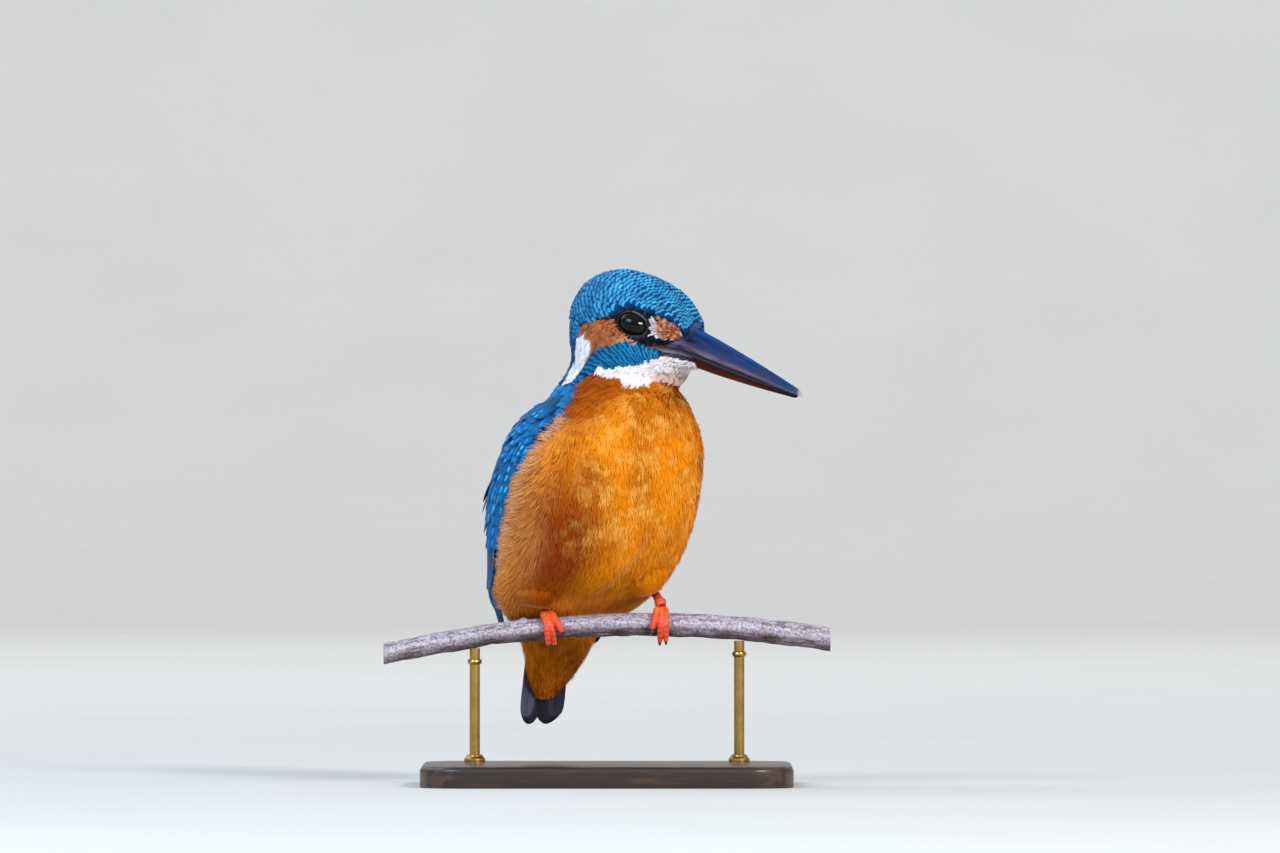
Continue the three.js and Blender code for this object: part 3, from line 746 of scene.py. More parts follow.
def bake_columns(vane, first, columns):
    """A column of the bake map for each long feather."""
    cells = (np.arange(first, first + len(vane)) + 0.5) / columns
    centres = np.stack([cells, np.full(len(vane), 0.5)], -1)[:, None, None]
    return centres + (vane - 0.5) * np.array([0.8 / columns, 0.9])


# Stations from root to tip, half widths there, places across, and how far the edges curl down.
BARB = ((0, 0.5, 1), (0.75, 1, 0.22), (-1, 1), 0)
SMALL_VANE = ((0, 0.45, 0.75, 0.93, 1), (0.5, 0.95, 1, 0.9, 0.4), (-1, -0.45, 0, 0.45, 1), 0.2)
VANE = (
    (0, 0.25, 0.5, 0.7, 0.85, 0.95, 1), (0.4, 0.8, 1, 0.98, 0.8, 0.5, 0.14),
    (-1, -0.5, 0, 0.5, 1), 0.28,
)


def scatter(surface, along_range, across_range, spacing, rng, keep):
    """Roots about one spacing apart over a part of a surface, by area."""
    tries = 60000
    along = rng.uniform(*along_range, tries)
    across = rng.uniform(*across_range, tries)
    here, ahead, aside, _ = surface.frame(along, across)
    area = np.linalg.norm(np.cross(ahead, aside), axis=-1)
    kept = rng.uniform(0, 1, tries) < area / area.max()
    along, across, here = along[kept], across[kept], here[kept]
    chosen = keep(here, along, across)
    along, across, here = along[chosen], across[chosen], here[chosen]
    cells = np.floor(here / spacing).astype(np.int64)
    keys = (cells[:, 0] * 4001 + cells[:, 1]) * 4001 + cells[:, 2]
    _, first = np.unique(keys, return_index=True)
    return along[first], across[first]


def run_of(points):
    """The distance run along a line of points, up to each of them."""
    return np.concatenate([[0], np.cumsum(np.linalg.norm(np.diff(points, axis=0), axis=-1))])


def staggered(middle, end, step, number):
    """Places one step apart up to the end, which line up on the middle in every second row."""
    first = middle - math.floor(middle / step) * step + (number % 2) * step / 2
    return np.arange(first, end, step)


def rows(surface, along_range, reference, across_range, pitch, spacing, wobble, rng):
    """Roots in staggered rows across the lie."""
    line = np.linspace(*along_range, 400)
    run = run_of(surface.at(line, np.full_like(line, reference)))
    found = []
    for number, start in enumerate(np.interp(np.arange(0, run[-1], pitch), run, line)):
        sweep = np.linspace(*across_range, 240)
        run = run_of(surface.at(np.full_like(sweep, start), sweep))
        places = staggered(np.interp(reference, sweep, run), run[-1], spacing, number)
        found.extend((start, at) for at in np.interp(places, run, sweep))
    found = np.array(found)
    jitter = rng.normal(0, wobble, (len(found), 2))
    _, ahead, aside, _ = surface.frame(found[:, 0], found[:, 1])
    return found + jitter / np.stack([np.linalg.norm(way, axis=-1) for way in (ahead, aside)], -1)


# ---- shader building -----------------------------------------------------------------------------


def put(tree, kind, settings=None, inputs=None):
    """Add a node, set it, and link or fill its inputs."""
    made = tree.nodes.new(kind)
    for key, value in (settings or {}).items():
        setattr(made, key, value)
    for key, value in (inputs or {}).items():
        if isinstance(value, bpy.types.NodeSocket):
            tree.links.new(value, made.inputs[key])
        else:
            made.inputs[key].default_value = value
    return made


def calc(tree, operation, a, b=0, clamp=False):
    return put(tree, "ShaderNodeMath", {"operation": operation, "use_clamp": clamp}, {0: a, 1: b}).outputs[0]


def mix(tree, factor, a, b, mode="MIX"):
    made = put(tree, "ShaderNodeMix", {"data_type": "RGBA", "blend_type": mode}, {0: factor, 6: a, 7: b})
    return made.outputs[2]


def between(tree, value, low, high, to_low=0, to_high=1):
    made = put(tree, "ShaderNodeMapRange", {"interpolation_type": "SMOOTHSTEP"}, {
        "Value": value, "From Min": low, "From Max": high, "To Min": to_low, "To Max": to_high,
    })
    return made.outputs[0]


def rgba(values):
    return (*values[:3], 1)


def new_group(name, inputs):
    """A shader group that puts out a colour, a height and a roughness. Returns it and its sockets."""
    tree = bpy.data.node_groups.new(name, "ShaderNodeTree")
    for label, kind, value in inputs:
        socket = tree.interface.new_socket(name=label, in_out="INPUT", socket_type=kind)
        socket.default_value = value
    for label, kind in (("Colour", COLOUR), ("Height", NUMBER), ("Roughness", NUMBER)):
        tree.interface.new_socket(name=label, in_out="OUTPUT", socket_type=kind)
    return tree, tree.nodes.new("NodeGroupInput").outputs, tree.nodes.new("NodeGroupOutput").inputs


COLOUR, NUMBER = "NodeSocketColor", "NodeSocketFloat"


def maths(tree):
    """Functions that add, subtract and multiply shader values."""
    return [lambda a, b, kind=kind: calc(tree, kind, a, b) for kind in ("ADD", "SUBTRACT", "MULTIPLY")]


def texture(tree, kind, vector, settings=None, **values):
    """A texture node over a vector. Returns its factor."""
    inputs = {key.replace("_", " "): value for key, value in values.items()}
    return put(tree, "ShaderNodeTex" + kind, settings, {"Vector": vector, **inputs}).outputs["Fac"]


def web_group():
    """The web of a feather: fine barbs, a shaft, a darker root, and a bar or spot near the tip."""
    name = "Feather web"
    if name in bpy.data.node_groups:
        return bpy.data.node_groups[name]
    tree, give, made = new_group(name, (
        ("Tint", COLOUR, (0.5, 0.5, 0.5, 1)), ("Mark", COLOUR, (1, 1, 1, 1)), ("Strength", NUMBER, 1),
        ("Bar Start", NUMBER, 0.6), ("Bar End", NUMBER, 0.85), ("Curve", NUMBER, 0.2),
        ("Spot Width", NUMBER, 1.2), ("Barbs", NUMBER, 14), ("Depth", NUMBER, 0.35),
        ("Shaft", NUMBER, 0.3), ("Root", NUMBER, 0.55),
    ))
    plus, minus, times = maths(tree)
    layout = put(tree, "ShaderNodeUVMap", {"uv_map": "Vane"})
    across, along, _ = put(tree, "ShaderNodeSeparateXYZ", inputs={0: layout.outputs[0]}).outputs
    twice = put(tree, "ShaderNodeMath", {"operation": "MULTIPLY_ADD"}, {0: across, 1: 2, 2: -1})
    side = calc(tree, "ABSOLUTE", twice.outputs[0])
    where = put(tree, "ShaderNodeTexCoord").outputs["Object"]
    rough = minus(texture(tree, "Noise", where, Scale=2600, Detail=2), 0.5)
    bowed = times(times(side, side), give["Curve"])
    at = plus(plus(along, bowed), times(rough, 0.12))
    start = between(tree, at, minus(give["Bar Start"], 0.06), plus(give["Bar Start"], 0.06))
    end = between(tree, at, minus(give["Bar End"], 0.05), plus(give["Bar End"], 0.05), 1, 0)
    near = between(tree, side, minus(give["Spot Width"], 0.2), plus(give["Spot Width"], 0.1), 1, 0)
    spot = times(times(start, end), near)
    phase = times(plus(along, times(side, -0.35)), give["Barbs"])
    wave = calc(tree, "SINE", times(phase, 2 * math.pi))
    barb = plus(times(wave, 0.35), times(rough, 1.6))
    shaft = between(tree, side, 0.03, 0.14, 1, 0)
    shade = minus(plus(1, times(barb, give["Depth"])), times(shaft, give["Shaft"]))
    root = put(tree, "ShaderNodeMapRange", inputs={
        "Value": along, "From Min": 0.15, "From Max": 0.65, "To Min": give["Root"], "To Max": 1,
    })
    shade = times(shade, root.outputs[0])
    marked = mix(tree, times(spot, give["Strength"]), give["Tint"], give["Mark"])
    grey = put(tree, "ShaderNodeCombineColor", inputs={0: shade, 1: shade, 2: shade})
    tree.links.new(mix(tree, 1, marked, grey.outputs[0], "MULTIPLY"), made["Colour"])
    tree.links.new(plus(times(barb, 0.5), times(shaft, 0.8)), made["Height"])
    tree.links.new(minus(0.52, times(barb, 0.12)), made["Roughness"])
    return tree


def mottle_group():
    """Two sizes of mottling in object space, for skins, horn, bark and wood."""
    name = "Mottle"
    if name in bpy.data.node_groups:
        return bpy.data.node_groups[name]
    tree, give, made = new_group(name, (
        ("Colour", COLOUR, (0.5, 0.5, 0.5, 1)), ("Other", COLOUR, (0.2, 0.2, 0.2, 1)),
        ("Patches", NUMBER, 300), ("Specks", NUMBER, 2500), ("Amount", NUMBER, 0.5),
    ))
    plus, _, times = maths(tree)
    where = put(tree, "ShaderNodeTexCoord").outputs["Object"]
    patches = texture(tree, "Noise", where, Scale=give["Patches"], Detail=3)
    specks = texture(tree, "Noise", where, Scale=give["Specks"], Detail=4, Roughness=0.65)
    amount = times(between(tree, patches, 0.38, 0.66), give["Amount"])
    fine = times(between(tree, specks, 0.5, 0.72), times(give["Amount"], 0.6))
    tree.links.new(mix(tree, calc(tree, "ADD", amount, fine, True), give["Colour"], give["Other"]),
                   made["Colour"])
    tree.links.new(plus(times(patches, 0.4), specks), made["Height"])
    tree.links.new(specks, made["Roughness"])
    return tree


def new_material(name):
    """A material with a Principled shader. Returns both with the node tree."""
    made = bpy.data.materials.new(name)
    made.use_nodes = True
    tree = made.node_tree
    tree.nodes.clear()
    end = tree.nodes.new("ShaderNodeOutputMaterial")
    shader = tree.nodes.new("ShaderNodeBsdfPrincipled")
    tree.links.new(shader.outputs[0], end.inputs["Surface"])
    return made, tree, shader


def bump(tree, shader, height, strength, distance):
    made = put(tree, "ShaderNodeBump", inputs={
        "Height": height, "Strength": strength, "Distance": distance * MM,
    })
    tree.links.new(made.outputs[0], shader.inputs["Normal"])


def set_plain(shader, **values):
    """Values that are the same all over the surface, on the shader's own sockets."""
    for key, value in values.items():
        shader.inputs[key.replace("_", " ")].default_value = value


# Sheen, gloss, bar from and to, curve, width of the spot, barbs, their depth, shaft, root
WEBS = {
    "barred": (0, 0.07, 0.76, 0.93, 0.06, 1.2, 9, 0.3, 0.06, 0.25),
    "downy_head": (0, 0.12, 0.55, 1.2, 0.2, 1.2, 3, 0.15, 0, 0.7),
    "white": (0.1, 0.2, 0.55, 1.2, 0.2, 1.2, 3, 0.06, 0, 0.9),
    "downy_body": (0, 0.05, 0.5, 1.3, 0.2, 1.2, 3, 0.15, 0, 0.62),
    "mantle": (0, 0.06, 0.62, 1.3, 0.15, 1.2, 16, 0.22, 0.12, 0.5),
    "flight": (0, 0.22, -1, 2, 0.2, 1.2, 60, 0.2, 0.35, 0.8),
    "spotted": (0, 0.08, 0.7, 0.93, 0.1, 0.3, 16, 0.28, 0.1, 0.35),
    "streaked": (0, 0.15, 0.35, 1.3, 0, 0.5, 30, 0.2, 0.15, 0.4),
    "tail": (0, 0.2, -1, 2, 0.2, 1.2, 50, 0.18, 0.4, 0.85),
}
WEB_VALUES = ("Bar Start", "Bar End", "Curve", "Spot Width", "Barbs", "Depth", "Shaft", "Root")


def feather_material(kind):
    """Feathers take their ground colour and mark from the mesh, and their web from a group."""
    sheen, gloss, *web = WEBS[kind]
    made, tree, shader = new_material("feathers_" + kind)
    tint, mark = (put(tree, "ShaderNodeAttribute", {"attribute_name": key}).outputs
                  for key in ("tint", "mark"))
    inputs = {"Tint": tint["Color"], "Mark": mark["Color"], "Strength": mark["Alpha"]}
    inputs.update(zip(WEB_VALUES, web))
    group = put(tree, "ShaderNodeGroup", {"node_tree": web_group()}, inputs)
    tree.links.new(group.outputs["Colour"], shader.inputs["Base Color"])
    tree.links.new(group.outputs["Roughness"], shader.inputs["Roughness"])
    set_plain(shader, Sheen_Weight=sheen, Sheen_Roughness=0.35, Specular_IOR_Level=gloss)
    bump(tree, shader, group.outputs["Height"], 0.5, 0.05)
    return made


def mottled_material(name, main, other, patches, specks, amount, rough, depth, **plain):
    """A surface with mottled colour, and roughness and bump from the same mottling."""
    made, tree, shader = new_material(name)
    group = put(tree, "ShaderNodeGroup", {"node_tree": mottle_group()}, {
        "Colour": rgba(main), "Other": rgba(other), "Patches": patches, "Specks": specks,
        "Amount": amount,
    })
    tree.links.new(group.outputs["Colour"], shader.inputs["Base Color"])
    spread = between(tree, group.outputs["Roughness"], 0.3, 0.7, rough[0], rough[1])
    tree.links.new(spread, shader.inputs["Roughness"])
    bump(tree, shader, group.outputs["Height"], 0.6, depth)
    set_plain(shader, **plain)
    return made, tree, shader, group


def painted_material(name, patches, specks, amount, darker, rough, depth, **plain):
    """The mesh's own colours, mottled with a darker shade of them."""
    made, tree, _, group = mottled_material(name, (1, 1, 1), (1, 1, 1), patches, specks, amount, rough,
                                            depth, **plain)
    tint = put(tree, "ShaderNodeAttribute", {"attribute_name": "tint"}).outputs["Color"]
    tree.links.new(tint, group.inputs["Colour"])
    tree.links.new(mix(tree, 1 - darker, tint, (0.01, 0.008, 0.008, 1)), group.inputs["Other"])
    return made


# ---- meshes from bmesh ---------------------------------------------------------------------------


def sheet_of(bm, columns, lines, at, close=False):
    """A grid of faces laid out by a function of two numbers of 0..1. close joins its sides."""
    made = bmesh.ops.create_grid(bm, x_segments=columns, y_segments=lines, size=0.5)["verts"]
    flat = np.array([v.co[:] for v in made]) + 0.5
    moved = at(flat[:, 0], flat[:, 1]) * MM
    for vertex, point in zip(made, moved):
        vertex.co = point
    if close:
        bmesh.ops.remove_doubles(bm, verts=made, dist=1e-6)
    return [v for v in made if v.is_valid]


def turned_outwards(bm):
    """The same mesh with every face turned outwards."""
    bmesh.ops.recalc_face_normals(bm, faces=bm.faces)
    return bm


def close_ends(bm):
    """Fill every open rim, and turn all faces outwards."""
    rim = [edge for edge in bm.edges if edge.is_boundary]
    if rim:
        bmesh.ops.holes_fill(bm, edges=rim, sides=0)
    return turned_outwards(bm)


def mesh_of(bm, name, material=None, smooth=True):
    mesh = bpy.data.meshes.new(name)
    bm.to_mesh(mesh)
    bm.free()
    mesh.polygons.foreach_set("use_smooth", np.full(len(mesh.polygons), smooth))
    if material:
        mesh.materials.append(material)
    return mesh


def painted_piece(name, bm, tone_of, material, replaced=()):
    """A piece that keeps the colours which a function gives from its points."""
    mesh = mesh_of(bm, name, material)
    flat = np.empty(len(mesh.vertices) * 3, np.float32)
    mesh.vertices.foreach_get("co", flat)
    colours = opaque(tone_of(flat.reshape(-1, 3).astype(float) / MM))
    layer = mesh.color_attributes.new("tint", "FLOAT_COLOR", "POINT")
    layer.data.foreach_set("color", colours.astype(np.float32).ravel())
    return finish_piece(name, mesh, replaced)


def thicken(made, thickness, offset=-1):
    """Give a sheet its wall. Returns the modifier."""
    wall = made.modifiers.new("Wall", "SOLIDIFY")
    wall.thickness = thickness * MM
    wall.offset = offset
    return wall


def fused(bm, name, voxel, relax):
    """One closed skin round overlapping closed shapes."""
    rough = bpy.data.objects.new(name, mesh_of(bm, name))
    bpy.context.scene.collection.objects.link(rough)
    wrap = rough.modifiers.new("Fuse", "REMESH")
    wrap.mode = "VOXEL"
    wrap.voxel_size = voxel * MM
    bpy.context.view_layer.update()
    shown = rough.evaluated_get(bpy.context.evaluated_depsgraph_get())
    whole = bmesh.new()
    whole.from_mesh(shown.to_mesh())
    shown.to_mesh_clear()
    rough_mesh = rough.data
    bpy.data.objects.remove(rough)
    bpy.data.meshes.remove(rough_mesh)
    for _ in range(relax):
        bmesh.ops.smooth_vert(whole, verts=whole.verts, factor=0.5, use_axis_x=True, use_axis_y=True,
                              use_axis_z=True)
    return whole


def tube_of(bm, path, radius_at, columns=24, lines=16, shape=None):
    """A closed round body along a path of points. shape may swell it over place and angle."""
    path = np.asarray(path, float)
    last = len(path) - 1

    def at(x, y):
        middle = spline(path, y * last)
        ahead = unit(spline(path, np.minimum(y * last + 0.02, last)) - spline(path, y * last - 0.02))
        aside = unit(np.cross(ahead, np.array([1, 0.02, 0.03])))
        other = np.cross(aside, ahead)
        around = 2 * np.pi * x
        radius = radius_at(y)
        if shape:
            radius = radius * shape(y, around)
        rise = (radius * np.cos(around))[:, None] * aside + (radius * np.sin(around))[:, None] * other
        return middle + rise

    sheet_of(bm, columns, lines, at, close=True)
    close_ends(bm)


# ---- skin and coat -------------------------------------------------------------------------------


THIGH_DEPTH = 2.1  # how far the skin lies inside the thighs, whose tufts are long
BARE_DEPTH = 2.3  # how much deeper the skin lies under the horn and skin beside the bill


def coat_depth(along):
    s = bpy.context.scene.kingfisher_plumage
    at = np.asarray(along)
    depth = s.face_depth + (s.depth - s.face_depth) * ramp(at, 7.8, 9.6)
    return depth / MM + 0.8 * fall(at, 0.2, 1.6)


def tree_of(points):
    """A search tree that finds the points nearest to a place."""
    tree = KDTree(len(points))
    for i, point in enumerate(points):
        tree.insert(point, i)
    tree.balance()
    return tree


def nearest_body(points):
    """Where on the body each point lies closest."""
    along, angle = np.meshgrid(np.linspace(0, LAST_SECTION, 241), np.linspace(0, 360, 181)[:-1])
    along, angle = along.ravel(), angle.ravel()
    tree = tree_of(outline(along, angle, -coat_depth(along)))
    nearest = np.array([tree.find(point)[1] for point in points])
    return along[nearest], angle[nearest]


def sink_orbits(bm):
    """Draw the skin in behind each eyeball."""
    for vertex in bm.verts:
        point = np.array(vertex.co) / MM
        forward, left, _ = head_frame(point)
        if abs(left) > 7 and abs(forward - 13) < 7 and eye_distance(point) < 0.95:
            inward = np.array([math.cos(math.radians(HEAD_HEADING)),
                               math.sin(math.radians(HEAD_HEADING)), 0]) * -math.copysign(1, left)
            vertex.co += Vector(inward * 2.2 * MM)


def skin_tone(points):
    along, angle = nearest_body(points)
    return plumage_tone(points, along, angle, tract_of(points, along, angle))


class KINGFISHER_OT_skin(bpy.types.Operator):
    """Make the one skin that carries the markings under the coat"""

    bl_idname = "kingfisher.skin"
    bl_label = "Skin"

    def execute(self, context):
        bm = bmesh.new()

        def body(x, y):
            along = y * LAST_SECTION
            bare = tract_of(outline(along, x * 360), along, x * 360) == BARE
            return outline(along, x * 360, -coat_depth(along) - BARE_DEPTH * bare)

        sheet_of(bm, 120, 160, body, close=True)
        for name in THIGHS:
            thigh = thigh_surface(name)
            sheet_of(bm, 40, 40, lambda x, y, at=thigh: at(y * 10, x * 360, -THIGH_DEPTH), close=True)
        whole = fused(close_ends(bm), "skin", 0.55, 4)
        sink_orbits(whole)
        down = painted_material("skin_down", 500, 3500, 0.7, 0.4, (0.65, 0.85), 0.3, Sheen_Weight=0.2)
        painted_piece("skin", whole, skin_tone, down, (
            "head", "neck", "trunk", "undertail_coverts", "thigh_left", "thigh_right",
        ))
        return {"FINISHED"}


TUFT_PATCH = 0.003  # size of a tuft's patch in the bake map


def bake_places(along, across, bake_range):
    """Places in the bake map for roots on a part of a surface."""
    low, high = bake_range
    return np.stack([(across - low[1]) / (high[1] - low[1]), (along - low[0]) / (high[0] - low[0])], -1)


def tuft_coat(coat, surface, along, across, rng, look, bake_range):
    """Add a tuft of fine barbs at each root. look gives arrays or numbers, one for each tuft."""
    count = len(along)
    barbs = look["barbs"]
    total = count * barbs

    def each(key):
        return np.repeat(np.broadcast_to(np.asarray(look[key], float), (count,)), barbs)

    fan = np.radians(each("fan")) * np.tile(np.linspace(-1, 1, barbs), count)
    lean = fan + rng.normal(0, 0.09, total)
    full = each("length") * rng.uniform(0.82, 1.08, total)
    shaft = rng.uniform(0, 0.45, total) * full
    reach = (full - shaft) * (0.75 + 0.25 * np.cos(lean * 1.6))
    turn = np.radians(each("turn"))
    along, across = np.repeat(along, barbs), np.repeat(across, barbs)
    centres = bake_places(along, across, bake_range)
    *_, along, across = surface.step(along, across, shaft, turn)
    root = each("root")
    tip = each("tip") + rng.normal(0, 1, total) * each("ruffle")
    points = strips(
        surface, along, across, BARB, reach, each("width"), turn + lean,
        root + (tip - root) * (shaft / full) * 0.6, tip, rng.normal(0, 0.35, total), -0.6 * lean,
    )
    shade = np.repeat(rng.normal(1, 0.06, count), barbs) * rng.normal(1, 0.07, total)
    tint = np.repeat(look["tint"], barbs, axis=0) * shade[:, None]
    mark = np.repeat(np.broadcast_to(look["mark"], (count, 3)), barbs, axis=0)
    strength = each("strength") * (0.35 + 0.65 * np.cos(np.clip(lean * 1.5, -1.5, 1.5)))
    coat.add_feathers(points, BARB, centres, TUFT_PATCH, tint, mark, strength)


def vane_coat(coat, surface, along, across, rng, look, form, bake_range):
    """Add one smooth vane at each root of staggered rows."""
    count = len(along)

    def each(key):
        return np.broadcast_to(np.asarray(look[key], float), (count,))

    points = strips(
        surface, along, across, form, each("length") * rng.uniform(0.94, 1.06, count), each("width"),
        np.radians(each("turn")) + rng.normal(0, 0.05, count), each("root"),
        each("tip") + rng.normal(0, look["ruffle"], count), rng.normal(0, 0.05, count),
    )
    tint = look["tint"] * rng.normal(1, 0.07, (count, 1))
    mark = np.broadcast_to(look["mark"], (count, 3))
    centres = bake_places(along, across, bake_range)
    coat.add_feathers(points, form, centres, look["patch"], tint, mark, each("strength"))


def seen(surface, along, across, distance):
    """Where the visible half of a feather lies."""
    *_, further, aside = surface.step(along, across, distance * 0.55, np.zeros(len(along)))
    return surface.at(further, aside), further, aside


def around_eye(points, angle):
    """Turn of the lie, in degrees, that leads the small feathers round the eye."""
    forward, _, up = head_frame(points)
    near = np.exp(-((eye_distance(points) - 1) / 0.9) ** 2)
    near = near * ramp(forward, OPENING_FORWARD - 4, OPENING_FORWARD + 2)
    return 62 * near * np.where(up > OPENING_UP, 1, -1) * np.sign(signed(angle))


EYE_CLEAR = 1.06  # no feather comes closer to the middle of the opening, in half axes


def clear_eyes(coat):
    """Move whatever would cross a lid's opening out to its rim."""
    for block in coat.points:
        near = eye_distance(block)
        forward, left, up = head_frame(block)
        crossing = (near < EYE_CLEAR) & (np.abs(left) > 8) & (up > 122) & (up < 136)
        push = EYE_CLEAR / np.maximum(near[crossing], 0.2) - 1
        df = (forward[crossing] - OPENING_FORWARD) * push
        du = (up[crossing] - OPENING_UP) * push
        turn = math.radians(HEAD_HEADING)
        block[crossing, 0] += df * math.sin(turn)
        block[crossing, 1] -= df * math.cos(turn)
        block[crossing, 2] += du


HEAD_RANGE = ((0, 0), (9.6, 360))
SWEEP_BACK = 1.25  # how far the crown's rows lag on its sides, in sections
LONGEST_STEP = 7  # from one section to the next over the forehead
FAN = 36  # degrees by which the crown's feathers turn up from the lie on its sides
BODY_RANGE = ((8, -180), (20, 180))
# Along the flank: how high its soft feathers stand, to lie over the front edge of the wing.
FLANK_LIFT = ((10.4, 0), (11.2, 2.4), (12, 3.6), (13, 3.5), (14, 2.6), (15, 1.6), (16, 0.3))


def flank_lift(along, angle, before, after):
    """Height over the body, growing from so many degrees before the blue to so many after it."""
    edge = border(BLUE_EDGE, along)
    side = np.where(angle < 0, 1, 0.45)
    return border(FLANK_LIFT, along) * side * ramp(np.abs(angle), edge - before, edge + after)


def barred_rows(name, material, s, rng, tracts, pitch, spacing, reach, wobble):
    """Rows of small vanes, each reaching over so many rows and straying so many sections."""
    coat = Coat()
    start, across, pitches, steps = graded_rows(pitch, spacing, tracts).T
    start = np.maximum(start + rng.normal(0, wobble, len(start)), 0.02)
    points, along, angle = seen(BODY, start, across, pitches * 2.2)
    tract = tract_of(points, along, angle)
    kept = np.isin(tract, tracts) & (eye_distance(points) > 1.15)
    start, across, pitches, steps, points, along, angle, tract = (
        x[kept] for x in (start, across, pitches, steps, points, along, angle, tract)
    )
    bars = {CROWN: (s.crown_bar, 0.88), NAPE: (s.azure, 0.22), MALAR: (s.malar_bar, 0.7)}
    patchy = np.clip(0.85 + 0.35 * clouds(points, 3.5, 8), 0, 1) * (1 - 0.5 * ramp(along, 4.4, 7.4))
    strength = np.array([bars[t][1] for t in tract]) * rng.uniform(0.6, 1, len(tract)) * patchy
    upwards = FAN * crown_sweep(along, angle) if CROWN in tracts else 0
    look = {
        "length": pitches * reach, "width": steps * 1.45,
        "turn": np.sign(signed(angle)) * upwards + 0.2 * around_eye(points, angle),
        "root": -0.7, "tip": 0.18, "ruffle": 0.08, "patch": 0.012, "strength": strength,
        "tint": plumage_tone(points, along, angle, tract),
        "mark": np.array([bars[t][0][:] for t in tract]),
    }
    vane_coat(coat, BODY, start, across, rng, look, SMALL_VANE, HEAD_RANGE)
    clear_eyes(coat)
    coat.build(name, material)


def crown_sweep(along, angle):
    """How much the rows sweep back here, on the sides of the forehead and the front crown."""
    side = ramp(np.abs(np.abs(signed(angle)) - 180), 6, 70)
    return side * np.interp(along, (2.6, 5.2, 7.2), (1, 0.4, 0))


def graded_rows(pitch, spacing, tracts):
    """Staggered rows, closer and smaller towards the bill: place, angle, pitch and spacing."""
    malar = MALAR in tracts
    reference = 278 if malar else 180
    angles = np.linspace(*((180, 360) if malar else (90, 270)), 400)
    line = np.linspace(0.15, 9.9, 500)
    run = run_of(outline(line, np.full_like(line, reference)))
    found, number = [], 0
    at = 0 if malar else -SWEEP_BACK * LONGEST_STEP
    while at < run[-1]:
        grade = 0.62 + 0.38 * float(ramp(np.array(at), 2, 24))
        start = float(np.interp(at, run, line)) if at > 0 else at / LONGEST_STEP
        places = np.full_like(angles, start)
        if not malar:
            places = places + SWEEP_BACK * crown_sweep(places, angles)
        girth = run_of(outline(places, angles))
        step = spacing * grade
        roots = staggered(float(np.interp(reference, angles, girth)), girth[-1], step, number)
        for angle in np.interp(roots, girth, angles):
            here = float(np.interp(angle, angles, places))
            if here > 0.02:
                found.append((here, angle, pitch * grade, step))
        at += pitch * grade
        number += 1
    found = np.array(found)
    if malar:
        other = found.copy()
        other[:, 1] = 360 - other[:, 1]
        found = np.concatenate([found, other])
    return found


def face_tufts(material, silky, s, rng):
    looks = {  # spacing, length, width, barbs, fan, height of the tip, strength of the mark
        EAR: (0.62, 2.8, 0.17, 8, 18, 0.2, 0.6), NECK_WHITE: (0.7, 3.6, 0.26, 9, 18, 0.3, 0.3),
        THROAT: (0.58, 2.6, 0.22, 9, 16, 0.05, 0.3), LORE_WHITE: (0.5, 1.9, 0.18, 7, 18, 0.3, 0.2),
        LORE: (0.6, 2.4, 0.17, 8, 30, 0.7, 1), BLACK: (0.5, 1.5, 0.2, 6, 24, 0.1, 0.2),
    }
    for tract, (spacing, reach, width, barbs, fan, tip, strength) in looks.items():
        coat = Coat()

        def here(points, along, angle, tract=tract, reach=reach):
            middle, further, aside = seen(BODY, along, angle, reach)
            return (tract_of(middle, further, aside) == tract) & (eye_distance(middle) > 1.1)

        along, angle = scatter(BODY, (0.05, 9.6), (0, 360), spacing, rng, here)
        points, further, aside = seen(BODY, along, angle, reach)
        short = 0.6 + 0.4 * ramp(eye_distance(points), 1.2, 2.2)
        near_bill = 0.6 + 0.4 * ramp(along, 0.2, 3.5)
        look = {
            "barbs": barbs, "fan": fan, "length": reach * short * near_bill, "width": width,
            "turn": 0.7 * around_eye(points, angle), "root": -0.7, "tip": tip,
            "ruffle": 0.06 + 0.3 * (tract == LORE),
            "tint": plumage_tone(points, further, aside, np.full(len(along), tract)),
            "mark": {EAR: s.ear_light, LORE: s.lore_light}.get(tract, s.white),
            "strength": strength * rng.uniform(0, 1, len(along)) ** 1.5 * (tract != BLACK),
        }
        tuft_coat(coat, BODY, along, angle, rng, look, HEAD_RANGE)
        clear_eyes(coat)
        pale = tract in (NECK_WHITE, THROAT, LORE_WHITE)
        coat.build("coat_" + TRACTS[tract], silky if pale else material)


class KINGFISHER_OT_head_coat(bpy.types.Operator):
    """Lay the barred crown, nape and moustache stripes, and the fine tufts of the face"""

    bl_idname = "kingfisher.head_coat"
    bl_label = "Head feathers"

    def execute(self, context):
        s = context.scene.kingfisher_plumage
        rng = np.random.default_rng(s.seed)
        barred = feather_material("barred")
        barred_rows("coat_crown", barred, s, rng, (CROWN, NAPE), 2.05, 1.75, 2.5, 0.01)
        barred_rows("coat_malar", barred, s, rng, (MALAR,), 1.35, 1.35, 1.9, 0.06)
        face_tufts(feather_material("downy_head"), feather_material("white"), s, rng)
        return {"FINISHED"}


